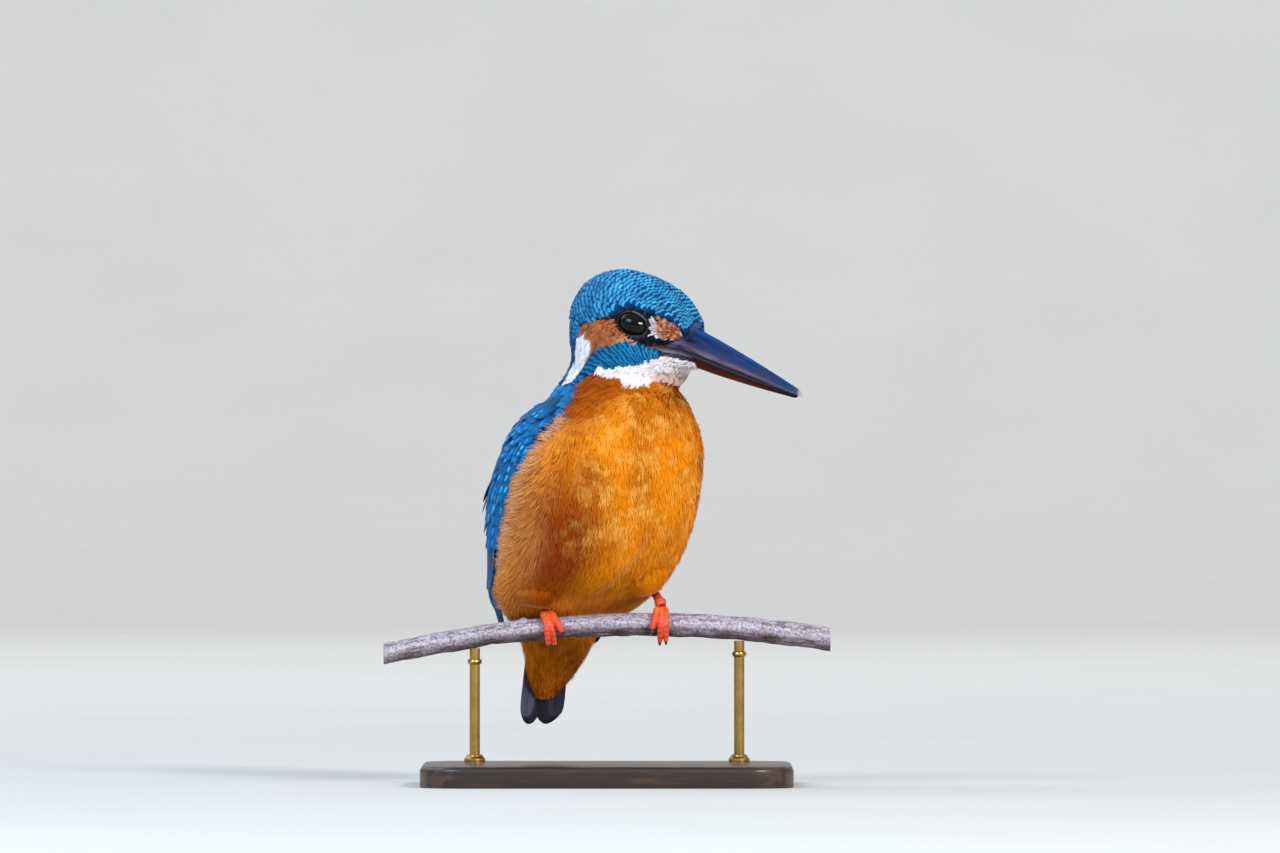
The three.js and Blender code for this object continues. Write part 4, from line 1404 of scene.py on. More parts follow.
def soft_look(s, points, along, angle):
    """Length, spread and turn of the soft tufts, which change over the body."""
    aside = signed(angle)
    flank = ramp(np.abs(aside), 52, 74)
    low = ramp(along, 12, 14.5)
    undertail = ramp(along, 16.3, 17.3)
    # The gold marks are painted highlights on the tips of the tufts, over the front of the breast and fading
    # out towards the bird's right side.
    flecks = clouds(points * np.array([1, 1, 0.35]), 1.4, 5) + 0.45 * clouds(points, 7, 6)
    front = (1 - flank) * (1 - low) * ramp(aside, -62, -20)
    length_here = 5 + 2.4 * flank + 1.4 * low - 1.5 * undertail - 1.6 * fall(along, 8.6, 10.2)
    outward = np.sign(aside) * (42 - 16 * ramp(along, 12.4, 14))
    return {
        "barbs": 14, "fan": 30 - 12 * flank, "length": length_here * (1 - 0.35 * ramp(along, 17.8, 19.8)),
        "width": 0.27 - 0.06 * flank,
        "turn": outward * flank * (1 - undertail) * ramp(along, 10.4, 11.6),
        "root": -1.2 + flank_lift(along, aside, 10, 0),
        "tip": 0.1 + 0.3 * flank + flank_lift(along, aside, 24, -4),
        "ruffle": 0.16 + 0.1 * low,
        "tint": plumage_tone(points, along, angle, tract_of(points, along, angle)),
        "mark": s.gold_highlight,
        "strength": np.clip(0.04 + 0.75 * front * ramp(flecks, -0.15, 1), 0, 1),
    }


def orange_tufts(material, s, rng):
    parts = {
        "coat_breast": ((5.4, 11), (-96, 96)), "coat_belly_right": ((11, 14), (-100, 0)),
        "coat_belly_left": ((11, 14), (0, 100)), "coat_vent": ((14, 16.6), (-110, 110)),
        "coat_undertail": ((16.6, 19.9), (-118, 118)),
    }

    def here(points, along, angle):
        return np.isin(tract_of(*seen(BODY, along, angle, 4)), (BREAST, UNDERTAIL))

    for name, (along_range, angle_range) in parts.items():
        coat = Coat()
        along, angle = scatter(BODY, along_range, angle_range, 1.22, rng, here)
        look = soft_look(s, *seen(BODY, along, angle, 5))
        tuft_coat(coat, BODY, along, angle, rng, look, BODY_RANGE)
        coat.build(name, material)


def wing_fringe(material, s, rng):
    """Loose barbs of the flanks that lie over the front edge of each wing."""
    for name, form in WINGS.items():
        side = form["side"]
        coat = Coat()

        def beside(points, along, angle, side=side):
            inside = border(BLUE_EDGE, along) - side * angle
            return (inside > 0) & (inside < 7)

        along, angle = scatter(BODY, (10.6, 15.4), sorted((side * 55, side * 98)), 0.8, rng, beside)
        count = len(along)
        height = flank_lift(along, angle, 10, -2)
        look = {
            # Some barbs take gold as painted highlights.
            "tint": layered(
                breast_tone(BODY.at(along, angle), along, np.full(count, 72 * side), s),
                (s.gold_highlight, rng.uniform(0, 0.35, count)), (s.rust, 0.6 * (rng.uniform(0, 1, count) > 0.7)),
            ),
            "barbs": 7, "fan": 20, "length": rng.uniform(3.6, 6.2, count), "width": 0.12,
            "turn": side * rng.uniform(48, 84, count), "root": height - 0.8,
            "tip": height + rng.uniform(0.2, 1.1, count), "ruffle": 0.3, "mark": s.lore_light,
            "strength": 0.4 * rng.uniform(0, 1, count),
        }
        tuft_coat(coat, BODY, along, angle, rng, look, BODY_RANGE)
        coat.build("coat_fringe_" + name, material)


def thigh_tufts(material, s, rng):
    """Tufts only where a thigh stands clearly out of the body, and round the ankle."""
    for name in THIGHS:
        coat = Coat()
        surface = Surface(thigh_surface(name), 0.1, 1)
        along, angle = scatter(surface, (1, 9.6), (0, 360), 1.05, rng,
                               lambda points, along, angle: np.ones(len(along), bool))
        points = surface.at(along, angle)
        body_along, body_angle = nearest_body(points)
        beside, _, _, out = BODY.frame(body_along, body_angle)
        proud = np.sum((points - beside) * out, -1)
        shown = (proud > 0.9) | ((proud > -1) & (along > 6.8))
        along, angle, points = along[shown], angle[shown], points[shown]
        low = ramp(along, 8.6, 9.6)
        look = {
            "barbs": 13, "fan": 26, "length": 5.4 - 0.2 * along, "width": 0.18, "turn": 0,
            "root": -2.2, "tip": 0.3 * low - 0.35 - 1.1 * fall(along, 4.5, 7.8),
            "ruffle": 0.12 + 0.2 * low, "mark": s.lore_light,
            "tint": layered(breast_tone(points, body_along[shown], body_angle[shown], s),
                            (s.rust, 0.2), (s.tan, 0.2 * low)),
            "strength": 0.4 * low * rng.uniform(0, 1, len(along)),
        }
        tuft_coat(coat, surface, along, angle, rng, look, ((0, 0), (10, 360)))
        coat.build("coat_thigh_" + name, material)


def back_vanes(material, s, rng):
    coat = Coat()
    start, across = rows(BODY, (8.4, 17.8), 180, (60, 300), 2.2, 2, 0.12, rng).T
    hidden = (start > 12.2) & (start < 16.6) & (np.abs(signed(across)) < 148)
    start, across = start[~hidden], across[~hidden]
    points, along, angle = seen(BODY, start, across, 6)
    tract = tract_of(points, along, angle)
    kept = np.isin(tract, (MANTLE, AZURE, NAPE, CROWN))
    start, across, points, along, angle, tract = (
        x[kept] for x in (start, across, points, along, angle, tract)
    )
    azure = tract == AZURE
    look = {
        "length": np.where(azure, 6.8, 6) * (1 - 0.35 * ramp(along, 16.5, 18)),
        "width": np.where(azure, 3.3, 2.9), "turn": 0,
        "root": -1.1, "tip": 0.2, "ruffle": 0.06, "patch": 0.01,
        "tint": plumage_tone(points, along, angle, tract),
        "mark": np.where(azure[:, None], s.crown_bar, s.spot),
        "strength": np.where(azure, 0.6, 0.2) * rng.uniform(0, 1, len(azure)),
    }
    vane_coat(coat, BODY, start, across, rng, look, VANE, ((8, 60), (20, 300)))
    coat.build("coat_back", material)


class KINGFISHER_OT_body_coat(bpy.types.Operator):
    """Lay the soft orange coat of the breast and belly, the thighs, and the blue of the back"""

    bl_idname = "kingfisher.body_coat"
    bl_label = "Body feathers"

    def execute(self, context):
        s = context.scene.kingfisher_plumage
        rng = np.random.default_rng(s.seed + 1)
        downy = feather_material("downy_body")
        orange_tufts(downy, s, rng)
        wing_fringe(downy, s, rng)
        thigh_tufts(downy, s, rng)
        back_vanes(feather_material("mantle"), s, rng)
        return {"FINISHED"}


# ---- wings and tail ------------------------------------------------------------------------------

QUILL = (
    (0, 0.12, 0.26, 0.42, 0.58, 0.72, 0.83, 0.91, 0.96, 0.99, 1),
    (0.2, 0.5, 0.78, 0.94, 1, 1, 0.94, 0.8, 0.6, 0.34, 0.1),
    (-0.8, -0.5, -0.2, 0.2, 0.55, 0.9, 1.2), 0.14,
)

TAIL_QUILL = (
    (0, 0.14, 0.3, 0.5, 0.7, 0.83, 0.91, 0.955, 0.983, 1),
    (0.3, 0.6, 0.85, 1, 1, 1, 0.95, 0.82, 0.58, 0.2),
    (-1, -0.66, -0.33, 0, 0.33, 0.66, 1), 0.1,
)


def quills(surface, roots, tips, width, lift, form=QUILL):
    """Long vanes straight from root to tip over a surface's two numbers."""
    reach = np.asarray(form[0])[None, :]
    along = roots[:, 0:1] + (tips[:, 0:1] - roots[:, 0:1]) * reach
    across = roots[:, 1:2] + (tips[:, 1:2] - roots[:, 1:2]) * reach
    here, ahead, aside, out = surface.frame(along, across)
    way = unit(ahead * (tips[:, 0] - roots[:, 0])[:, None, None]
               + aside * (tips[:, 1] - roots[:, 1])[:, None, None])
    side = np.cross(out, way)
    side *= np.sign(np.sum(side * aside, -1, keepdims=True))
    return laid_out(here, out, side, lift[:, None], width, form)


def wing_core(name, s):
    """The body of the folded wing under its feathers."""
    at = wing_surface(name)
    bm = bmesh.new()

    def wrapped(x, y):
        around = 2 * np.pi * x
        return at(0.7 + 18 * y, 10 + 8.6 * np.cos(around), -1.2 - 0.35 * (1 - np.sin(around)))

    sheet_of(bm, 48, 60, wrapped, close=True)
    name_of = "wing_core_" + name
    material, *_ = mottled_material(name_of, s.flight, s.wing, 300, 2000, 0.5, (0.5, 0.7), 0.1)
    finish_piece(name_of, mesh_of(close_ends(bm), name_of, material), ("wing_" + name,))


def flight_feathers(name, surface, material, s):
    """Primaries from the lowest outer one inwards, then secondaries and tertials over them."""
    sets = (
        # count, first and last root, first and last tip, widths, lifts, how blue the web is
        (10, ((8.5, 3), (9.5, 12)), ((19.3, 4.5), (15.6, 13.5)), (5.6, 6.4), (-0.75, -0.2), 0.15),
        (11, ((7.5, 4), (7, 15.5)), ((13.6, 4), (14.2, 16)), (5.2, 6.2), (-0.1, 0.35), 0.75),
        (3, ((6.2, 15), (5.2, 17.6)), ((13.4, 16.8), (11.6, 18)), (6.4, 6.4), (0.4, 0.6), 0.9),
    )
    coat = Coat()
    cell = 0
    for count, root_ends, tip_ends, widths, lifts, blue in sets:
        t = np.linspace(0, 1, count)
        roots, tips = (np.outer(1 - t, a) + np.outer(t, b) for a, b in (root_ends, tip_ends))
        width, lift = (a + (b - a) * t for a, b in (widths, lifts))
        if cell == 0:
            tips[:5, 0] += (-0.3, 0.5, 0.7, 0.5, 0.2)
            tips[:, 1] -= 4 * (name == "left")
        vane = vane_map(QUILL, count)
        u = vane[..., 0]
        tint = layered(s.flight, (s.flight_edge, ramp(-u, -0.2, -0.06)),
                       (s.wing, ramp(-u, -0.42, -0.2) * blue))
        coat.add(quills(surface, roots, tips, width, lift), vane, bake_columns(vane, cell, 24),
                 opaque(tint), opaque(np.zeros(3), 0))
        cell += count
    thicken(coat.build("flight_feathers_" + name, material), 0.14)


def wing_coverts(name, surface, material, streaked, s, rng):
    rows_of = (
        # from and to, pitch, spacing, length, width, lift, strength
        ("coverts_greater", (5.2, 8.6), 3.4, 2.4, 9.5, 3.6, 0.5, 0.7),
        ("coverts_median", (3.2, 5.6), 3, 2.4, 7, 3.3, 0.65, 0.9),
        ("coverts_lesser", (0.1, 3.6), 2.5, 2.1, 5.4, 2.9, 0.8, 1),
    )
    for label, span, pitch, spacing, reach, width, lift, strength in rows_of:
        coat = Coat()
        found = rows(surface, span, 10, (0.2, 19), pitch, spacing, 0.3, rng)
        found = found[rng.uniform(0, 1, len(found)) > 0.08]
        near = strength * (1 - 0.85 * ramp(found[:, 1], 7, 11))
        add_coverts(coat, surface, found, reach, width, lift, near, s, rng, s.wing, s.spot)
        coat.build(f"{label}_{name}", material)
    coat = Coat()
    found = rows(surface, (-0.8, 6.4), 20, (9.2, 19.9), 3.4, 2, 0.4, rng)
    add_coverts(coat, surface, found, 15, 3, 1.15, 1, s, rng, s.wing, s.azure)
    # Two lilac scapulars on the right wing are painted sheen from the sky light behind.
    if name == "right":
        found = np.array([(4.7, 11.4), (5.4, 10.6)])
        add_coverts(coat, surface, found, 12.5, 3.2, 2.3, 0, s, rng, s.lilac_rim_sheen, s.azure)
    coat.build("scapulars_" + name, streaked)
    coat = Coat()
    found = np.array([(2.4, 0.8), (2.9, 1.3), (3.5, 1.9)])
    add_coverts(coat, surface, found, 11, 3.2, 0.9, 0, s, rng, s.flight_edge, s.azure)
    coat.build("alula_" + name, material)


def add_coverts(coat, surface, found, reach, width, lift, strength, s, rng, ground, light):
    count = len(found)
    points = surface.at(found[:, 0], found[:, 1])
    tint = blend(ground, s.mantle, 0.5 + 0.5 * clouds(points, 5, 9)) * rng.uniform(0.7, 1.15, (count, 1))
    strength = strength * rng.uniform(0.1, 1, count) * (rng.uniform(0, 1, count) > 0.25)
    look = {
        "length": reach, "width": width, "turn": 0, "root": -0.5, "tip": lift, "ruffle": 0.05,
        "tint": tint, "mark": light, "strength": strength, "patch": 0.02,
    }
    vane_coat(coat, surface, found[:, 0], found[:, 1], rng, look, VANE, ((-1, 0), (8, 20)))


class KINGFISHER_OT_wings(bpy.types.Operator):
    """Lay the folded wings: primaries, secondaries, tertials, coverts, scapulars and alula"""

    bl_idname = "kingfisher.wings"
    bl_label = "Wings"

    def execute(self, context):
        s = context.scene.kingfisher_plumage
        flight, spotted, streaked = map(feather_material, ("flight", "spotted", "streaked"))
        for number, name in enumerate(WINGS):
            rng = np.random.default_rng(s.seed + 10 + number)
            surface = Surface(wing_surface(name), 0.12, 0.12)
            wing_core(name, s)
            flight_feathers(name, surface, flight, s)
            wing_coverts(name, surface, spotted, streaked, s, rng)
        return {"FINISHED"}


def tail_surface(along, across, lift=0):
    """The blade of the closed tail. along runs from 0 to 20, across from -1 to 1, out is the back."""
    s = np.asarray(along) / 20
    c = np.asarray(across)
    forward = TAIL_BASE[0] + (TAIL_TIP[0] - TAIL_BASE[0]) * s
    height = TAIL_BASE[1] + (TAIL_TIP[1] - TAIL_BASE[1]) * s
    return place(BODY_HEADING, forward + TAIL_ARCH * c ** 2 - lift, TAIL_SHIFT + TAIL_HALF_WIDTH * c, height)


def underside(upper):
    """The same web, with the colour that the mesh keeps for the face below."""
    made = upper.copy()
    made.name = "feathers_tail_under"
    for node in made.node_tree.nodes:
        if node.type == "ATTRIBUTE" and node.attribute_name == "tint":
            node.attribute_name = "mark"
    return made


class KINGFISHER_OT_tail(bpy.types.Operator):
    """Lay the twelve tail feathers"""

    bl_idname = "kingfisher.tail"
    bl_label = "Tail"

    def execute(self, context):
        s = context.scene.kingfisher_plumage
        surface = Surface(tail_surface, 0.12, 0.01)
        material = feather_material("tail")
        coat = Coat()
        t = np.arange(6) / 5
        outer = t[:, None, None]
        for side in (-1, 1):
            roots = np.stack([np.zeros(6), side * (0.1 + 0.5 * t)], -1)
            tips = np.stack([19.9 - 1.3 * t ** 2 - 0.3 * (t < 0.1), side * (0.31 + 0.34 * t)], -1)
            points = quills(surface, roots, tips, np.full(6, 5.3), 0.5 - 0.95 * t, TAIL_QUILL)
            vane = vane_map(TAIL_QUILL, 6)
            u = vane[..., 0] if side > 0 else 1 - vane[..., 0]
            tint = layered(s.flight, (s.wing, np.broadcast_to(0.9 * (1 - outer) ** 0.5, u.shape)),
                           (s.flight_edge, 0.8 * ramp(u, 0.86, 0.97)))
            # The outer feathers take lilac as painted sheen, most on the bird's right side.
            pale = 0.75 if side < 0 else 0.15
            under = layered(s.slate, (s.flight, 0.45 * ramp(u, 0.2, 0.5)),
                            (s.lilac_rim_sheen, pale * ramp(outer, 0.75, 1)))
            coat.add(points, vane, bake_columns(vane, 6 * (side > 0), 12), opaque(tint), opaque(under))
        made = coat.build("tail_feathers", material)
        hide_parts("tail")
        made.data.materials.append(underside(material))
        thicken(made, 0.16, 0).material_offset = 1
        return {"FINISHED"}


# ---- bill, eyes and feet -------------------------------------------------------------------------


BILL_FLATNESS = 0.16  # how much the sides of the bill are flattened


def bill_line(forward, line):
    """Height of one of the bill's lines."""
    height, tip, swell = line
    t = (forward - BILL_BASE) / (tip - BILL_BASE)
    return height + (BILL_TIP_HEIGHT - height) * t + swell * through(*SWELLING)(t)


def horn_tone(points, upper, s):
    """Painted reflection of the sky in blue along the upper bill, a painted highlight along its ridge,
    violet-grey painted sheen next to the mouth edge, and red-brown along the keel.
    """
    forward, left, up = head_frame(points)
    along = (forward - BILL_BASE) / (UPPER_TIP - BILL_BASE)
    edge, ridge, keel = (bill_line(forward, line) for line in (EDGE, RIDGE, KEEL))
    over = (up - edge) / np.maximum(ridge - edge, 0.4)
    below = (edge - up) / np.maximum(edge - keel, 0.4)
    grain = clouds(np.stack([forward * 0.12, left * 1.6, (up - edge) * 1.6], -1), 1, 4)
    fade = fall(along, 0.9, 1)
    above = layered(
        # Violet-grey painted sheen over the lower part of the upper bill.
        s.bill, (s.bill_violet_and_sheen, 0.8 * ramp(over, 0.03, 0.1) * (0.8 + 0.5 * grain)),
        # Painted reflection of the sky, blue over the upper part of the upper bill.
        (s.bill_sky_reflection, ramp(over, 0.22, 0.42) * fade * (0.9 + 0.4 * grain)),
        # Painted highlight along the ridge.
        (s.bill_ridge_highlight, 0.55 * ramp(over, 0.84, 0.97) * fade * (0.8 + 0.6 * grain)),
    )
    under = layered(
        # Violet-grey painted sheen along the top of the lower bill, near its base.
        s.bill, (s.bill_violet_and_sheen, 0.3 * fall(below, 0.1, 0.4) * fall(along, 0.5, 1)),
        (s.bill_red, ramp(below, 0.3, 0.8) * fall(along, 0.4, 1) * (0.9 + 0.3 * grain)),
    )
    tint = np.where(np.broadcast_to(upper, up.shape)[:, None], above, under)
    return nostril(blend(tint, s.bill_tip, ramp(along, 0.955, 0.99) * 0.8), points, s)


def nostril(tint, points, s):
    """Colours with the slit of the nostril drawn in."""
    forward, _, up = head_frame(points)
    slit = np.hypot((forward - 27.6) / 2.1, (up - 124.2 + 0.1 * (forward - 27.6)) / 0.3)
    return blend(tint, s.bill_slit, 0.95 * fall(slit, 0.7, 1.3))


def corner_tone(points, s):
    """Dark skin with a pale painted sheen along the fold below the mouth line, painted shade in the groove
    of the mouth, lilac behind the nostril, and the red corner of the mouth.
    """
    forward, left, up = head_frame(points)
    line = border(CORNER_LINE, forward)
    grain = clouds(np.stack([forward * 0.2, left, up * 1.8], -1), 1, 4)
    skin = layered(
        # Violet-grey mottle of the skin, the colour that also serves the bill's painted sheen.
        s.bill, (s.bill_violet_and_sheen, 0.15 + 0.3 * grain),
        # A pale painted sheen along the fold just below the mouth line.
        (s.lid_rim, 0.5 * np.exp(-((line - up - 0.9) / 0.4) ** 2)),
        (s.bill_skin, ramp(up - line, 1, 2) * ramp(forward, 21, 24) * (0.8 + 0.3 * grain)),
    )
    tint = blend(skin, horn_tone(points, up > line, s), ramp(forward + 0.5 * (up - line), 25, 28.5))
    return layered(
        nostril(tint, points, s),
        (s.gape, 0.9 * np.exp(-((up - line) / 0.3) ** 2) * fall(forward, 18, 24)),
        # Painted shade: a near-black line in the groove of the mouth.
        ((0.01, 0.006, 0.008), 0.8 * np.exp(-((up - line) / 0.1) ** 2)),
    )


def bill_corner(name, side, material, s):
    """The horn and skin from the corner of the mouth to the foot of the bill."""
    face = face_depths(side)

    def at(x, y):
        forward = 14.3 + 14.7 * x
        low = border(CORNER_BOTTOM, forward) - 0.3
        line = border(CORNER_LINE, forward)
        high = border(CORNER_TOP, forward) + 0.3
        up = np.where(y < 0.5, low + (line - low) * y * 2, line + (high - line) * (y * 2 - 1))
        edge, ridge, keel = (bill_line(forward, other) for other in (EDGE, RIDGE, KEEL))
        reach = np.where(up > edge, ridge - edge, edge - keel)
        wide = BILL_HALF_WIDTH * through(*BILL_WIDTHS)((forward - BILL_ROOT) / (UPPER_TIP - BILL_ROOT))
        sine = np.clip(np.abs(up - edge) / reach, 0, 1) ** 0.91
        cosine = np.sqrt(1 - sine ** 2)
        horn = wide * cosine * (1 - BILL_FLATNESS * (2 * sine * cosine) ** 2)
        horn = horn + 0.22 - 0.3 * ramp(forward, 27, 29)
        meet = ramp(forward, 18.5, 28)
        out = side * face(forward, up) * (1 - meet) + horn * meet
        away = np.abs(up - line)
        lips = 0.22 * np.exp(-((away - 0.5) / 0.3) ** 2) - 0.2 * np.exp(-(away / 0.16) ** 2)
        return place(HEAD_HEADING, forward, side * (out - 0.1 + lips * (1 - meet * 0.6)), up)

    bm = bmesh.new()
    sheet_of(bm, 110, 44, at)
    made = painted_piece("bill_corner_" + name, turned_outwards(bm), lambda points: corner_tone(points, s),
                         material)
    thicken(made, 0.35)


def bill_half(x, y, outer):
    """One half of the bill. x runs round it from the cutting edge, y from root to tip."""
    widths = through(*BILL_WIDTHS)
    tip = outer[1]
    side = math.copysign(1, outer[0] - EDGE[0])
    s = y ** 0.8
    forward = BILL_ROOT + (tip - BILL_ROOT) * s
    edge = bill_line(forward, EDGE)
    blunt = np.sqrt(1 - 0.85 * np.clip((forward - tip) / 1.3 + 1, 0, 1) ** 2)
    height = np.maximum(side * (bill_line(forward, outer) - edge), 0.3) * blunt
    wide = BILL_HALF_WIDTH * widths(s) * blunt
    around = np.pi * np.clip(x / 0.78, 0, 1)
    under = np.clip((x - 0.78) / 0.22, 0, 1)
    flat = 1 - BILL_FLATNESS * np.sin(around * 2) ** 2
    ridge = 0.22 * np.exp(-((around - np.pi / 2) / 0.2) ** 2) * (1 - s)
    crease = 0.06 * np.exp(-((np.sin(around) - 0.45) / 0.2) ** 2) * (1 - s)
    left = wide * np.where(under > 0, -1 + 2 * under, np.cos(around)) * flat
    rise = np.where(under > 0, 0.25 * np.sin(np.pi * under) * (1 - s),
                    height * np.sin(around) ** 1.1 + ridge)
    left = left - np.sign(left) * np.where(under > 0, 0, crease)
    return place(HEAD_HEADING, forward, left, edge + side * (0.08 + rise))


class KINGFISHER_OT_bill(bpy.types.Operator):
    """Shape both halves of the bill, with a ridge, cutting edges and a worn tip"""

    bl_idname = "kingfisher.bill"
    bl_label = "Bill"

    def execute(self, context):
        s = context.scene.kingfisher_bare
        material = painted_material("bill_horn", 260, 1500, 0.25, 0.5, (0.34, 0.44), 0.02,
                                    Specular_IOR_Level=0.08, Coat_Weight=0.02, Coat_Roughness=0.2)
        for name, outer in (("upper", RIDGE), ("lower", KEEL)):
            bm = bmesh.new()
            sheet_of(bm, 60, 130, lambda x, y, line=outer: bill_half(x, y, line), close=True)
            painted_piece("bill_" + name + "_horn", close_ends(bm),
                          lambda points, upper=name == "upper": horn_tone(points, upper, s),
                          material, ("bill_" + name,))
        for name, side in (("left", 1), ("right", -1)):
            bill_corner(name, side, material, s)
        return {"FINISHED"}


def face_depths(side):
    """A function giving how far left the face surface lies at a forward distance and height."""
    along, angle = np.meshgrid(np.linspace(0.5, 8, 160), np.linspace(40, 140, 160))
    forward, left, up = head_frame(outline(along.ravel(), side * angle.ravel(), -0.35))
    tree = tree_of(np.stack([forward, up, 0 * up], -1))

    def at(forwards, ups):
        near = [tree.find_n((f, u, 0), 4) for f, u in zip(forwards, ups)]
        return np.array([np.mean([left[i] for _, i, _ in found]) for found in near])

    return at


def from_opening(along, across):
    """How far forward and up a place lies, given along and across the tilt of the lids."""
    tilt = math.radians(EYE_TILT)
    return along * math.cos(tilt) - across * math.sin(tilt), along * math.sin(tilt) + across * math.cos(tilt)


def eyeball(name, side, material, s):
    centre, radius = EYES[side]
    bm = bmesh.new()
    bmesh.ops.create_icosphere(bm, subdivisions=6, radius=1)
    ways = np.array([v.co[:] for v in bm.verts])
    off_axis = np.degrees(np.arccos(np.clip(ways[:, 2], -1, 1)))
    long, short, out = (ways * radius * EYE_BALL).T
    forward, up = from_opening(long, short)
    left = abs(head_frame(centre)[1]) + EYE_OUT + out - EYE_SLOPE * forward + 0.15 * fall(off_axis, 22, 50)
    points = place(HEAD_HEADING, OPENING_FORWARD + forward, side * left, OPENING_UP + up)
    for vertex, point in zip(bm.verts, points * MM):
        vertex.co = point
    tint = blend((0, 0, 0), s.iris, ramp(off_axis, 30, 32) * (1 - 0.7 * ramp(off_axis, 48, 56)))
    painted_piece("eyeball_" + name, turned_outwards(bm), lambda points: tint, material,
                  ("eye_" + name,))


def lids(name, side, material, s):
    centre, radius = EYES[side]
    eye_left = abs(head_frame(centre)[1]) + EYE_OUT
    long_axis, short_axis, out_axis = (radius * part for part in EYE_BALL)
    face = face_depths(side)

    def at(x, y):
        around = 2 * np.pi * x
        grown = 0.97 + 0.3 * y
        a = EYE_OPENING[0] * grown * np.cos(around) * (1 + 0.06 * np.cos(around))
        b = EYE_OPENING[1] * grown * np.sin(around)
        ahead, above = from_opening(a, b)
        forward, up = OPENING_FORWARD + ahead, OPENING_UP + above
        off = (a / long_axis) ** 2 + (b / short_axis) ** 2
        ball = eye_left + out_axis * np.sqrt(np.maximum(1 - off, 0)) - EYE_SLOPE * ahead
        rim = 0.03 + 0.22 * np.sin(np.clip(y / 0.4, 0, 1) * np.pi * 0.75)
        wrinkle = 0.03 * np.sin(around * 22) * np.sin(np.clip(y, 0, 1) * np.pi)
        meet = ramp(y, 0.3, 1)
        outer = side * face(forward, up) - 0.1 + 0.2 * (1 - y)
        out = (ball + rim) * (1 - meet) + outer * meet + wrinkle
        return place(HEAD_HEADING, forward, side * out, up)

    def tone_of(points):
        away = eye_distance(points)
        return blend(s.lid, s.lid_rim, 0.8 * ramp(away, 1, 1.03) * fall(away, 1.07, 1.11))

    bm = bmesh.new()
    sheet_of(bm, 120, 14, at, close=True)
    made = painted_piece("lids_" + name, turned_outwards(bm), tone_of, material)
    thicken(made, 0.3)


class KINGFISHER_OT_eyes(bpy.types.Operator):
    """Shape the eyeballs, with a clear bulge over the iris, and the lids round them"""

    bl_idname = "kingfisher.eyes"
    bl_label = "Eyes"

    def execute(self, context):
        s = context.scene.kingfisher_bare
        ball = painted_material("eye_dark", 300, 2200, 0.25, 0.4, (0.02, 0.04), 0,
                                Specular_IOR_Level=0.22)
        lid = painted_material("lid_skin", 900, 5000, 0.5, 0.4, (0.35, 0.6), 0.05)
        for name, side in (("left", 1), ("right", -1)):
            eyeball(name, side, ball, s)
            lids(name, side, lid, s)
        return {"FINISHED"}


def branch_height(x):
    return BRANCH_CROWN - BRANCH_BEND + np.sqrt(BRANCH_BEND ** 2 - (x - BRANCH_CROWN_X) ** 2)


def round_branch(x, angle, clear):
    """A point beside the branch. The angle is 0 on top and grows down its front."""
    radius = BRANCH_RADIUS + BRANCH_TAPER * x + BRANCH_CLEARANCE + clear
    turn = np.radians(angle)
    return np.array([x, -radius * np.sin(turn), branch_height(x) + radius * np.cos(turn)])


# Where each toe runs: its side step from the foot's middle, outwards, its angles round the branch,
# and how far its end hangs off it.
TOES = {
    "inner": (-1.25, (12, 45, 78, 105), 0.5), "middle": (0, (12, 50, 92, 142), 1.6),
    "outer": (1, (12, 48, 88, 138), 1.6), "hind": (-0.2, (-12, -45, -80, -118), 0),
}
TOE_GIRTHS = (0.8, 1.05, 0.92, 1.02, 0.95, 0.72)
TARSUS_GIRTHS = (1.25, 0.95, 0.9, 1.05, 1.3, 0.9)


def toe_path(foot, kind):
    step, angles, hang = TOES[kind]
    path = []
    for s, angle in zip(np.linspace(0, 1, len(angles)), angles):
        x = foot["x"] + step * foot["side"] * TOE_SPACING * (0.55 + 0.45 * s) + foot["slant"] * s
        path.append(round_branch(x, angle, TOE_RADIUS * (1 - 0.15 * s) + hang * s * s))
    return np.array(path)


def tarsus_path(foot):
    heel = np.array(foot["ankle"])
    pad = round_branch(foot["x"], 4, TARSUS_RADIUS)
    return np.array([heel, heel + (pad - heel) * 0.55 + (0, 0.5, 0.2), pad])


def foot_tone(points, limbs, s):
    """Painted shade in deep red in the creases, purple marks over the scales, a painted highlight in orange
    on the upper part of each toe, and a dark band at the ankle.
    """
    known, marks = [], []
    for path, _, _, scales, _ in limbs:
        for y in np.linspace(0, 1, 121):
            known.append(spline(path, y * (len(path) - 1)))
            marks.append((abs(math.sin(math.pi * scales * y)), y, len(path) == 3))
    tree = tree_of(known)
    scute, down, ankle = np.array(marks)[[tree.find(point)[1] for point in points]].T
    patches = clouds(points, 1.6, 3)
    blotches = ramp(patches + 0.5 * clouds(points, 0.55, 2), 0.45, 0.8)
    return layered(
        # Painted shade in the creases between the scales.
        s.foot, (s.foot_crease_shade, 0.75 * fall(scute, 0.1, 0.5)),
        (s.foot_mark, 0.85 * blotches * (0.25 + 0.75 * fall(down, 0.35, 0.6))),
        # Painted highlight on the upper part of each toe.
        (s.foot_top_highlight, 0.6 * fall(down, 0.2, 0.7) * (0.7 + 0.5 * patches) * (ankle == 0)),
        (s.foot_mark, 0.8 * ankle * (ramp(down, 0.2, 0.3) - ramp(down, 0.42, 0.52))),
    )


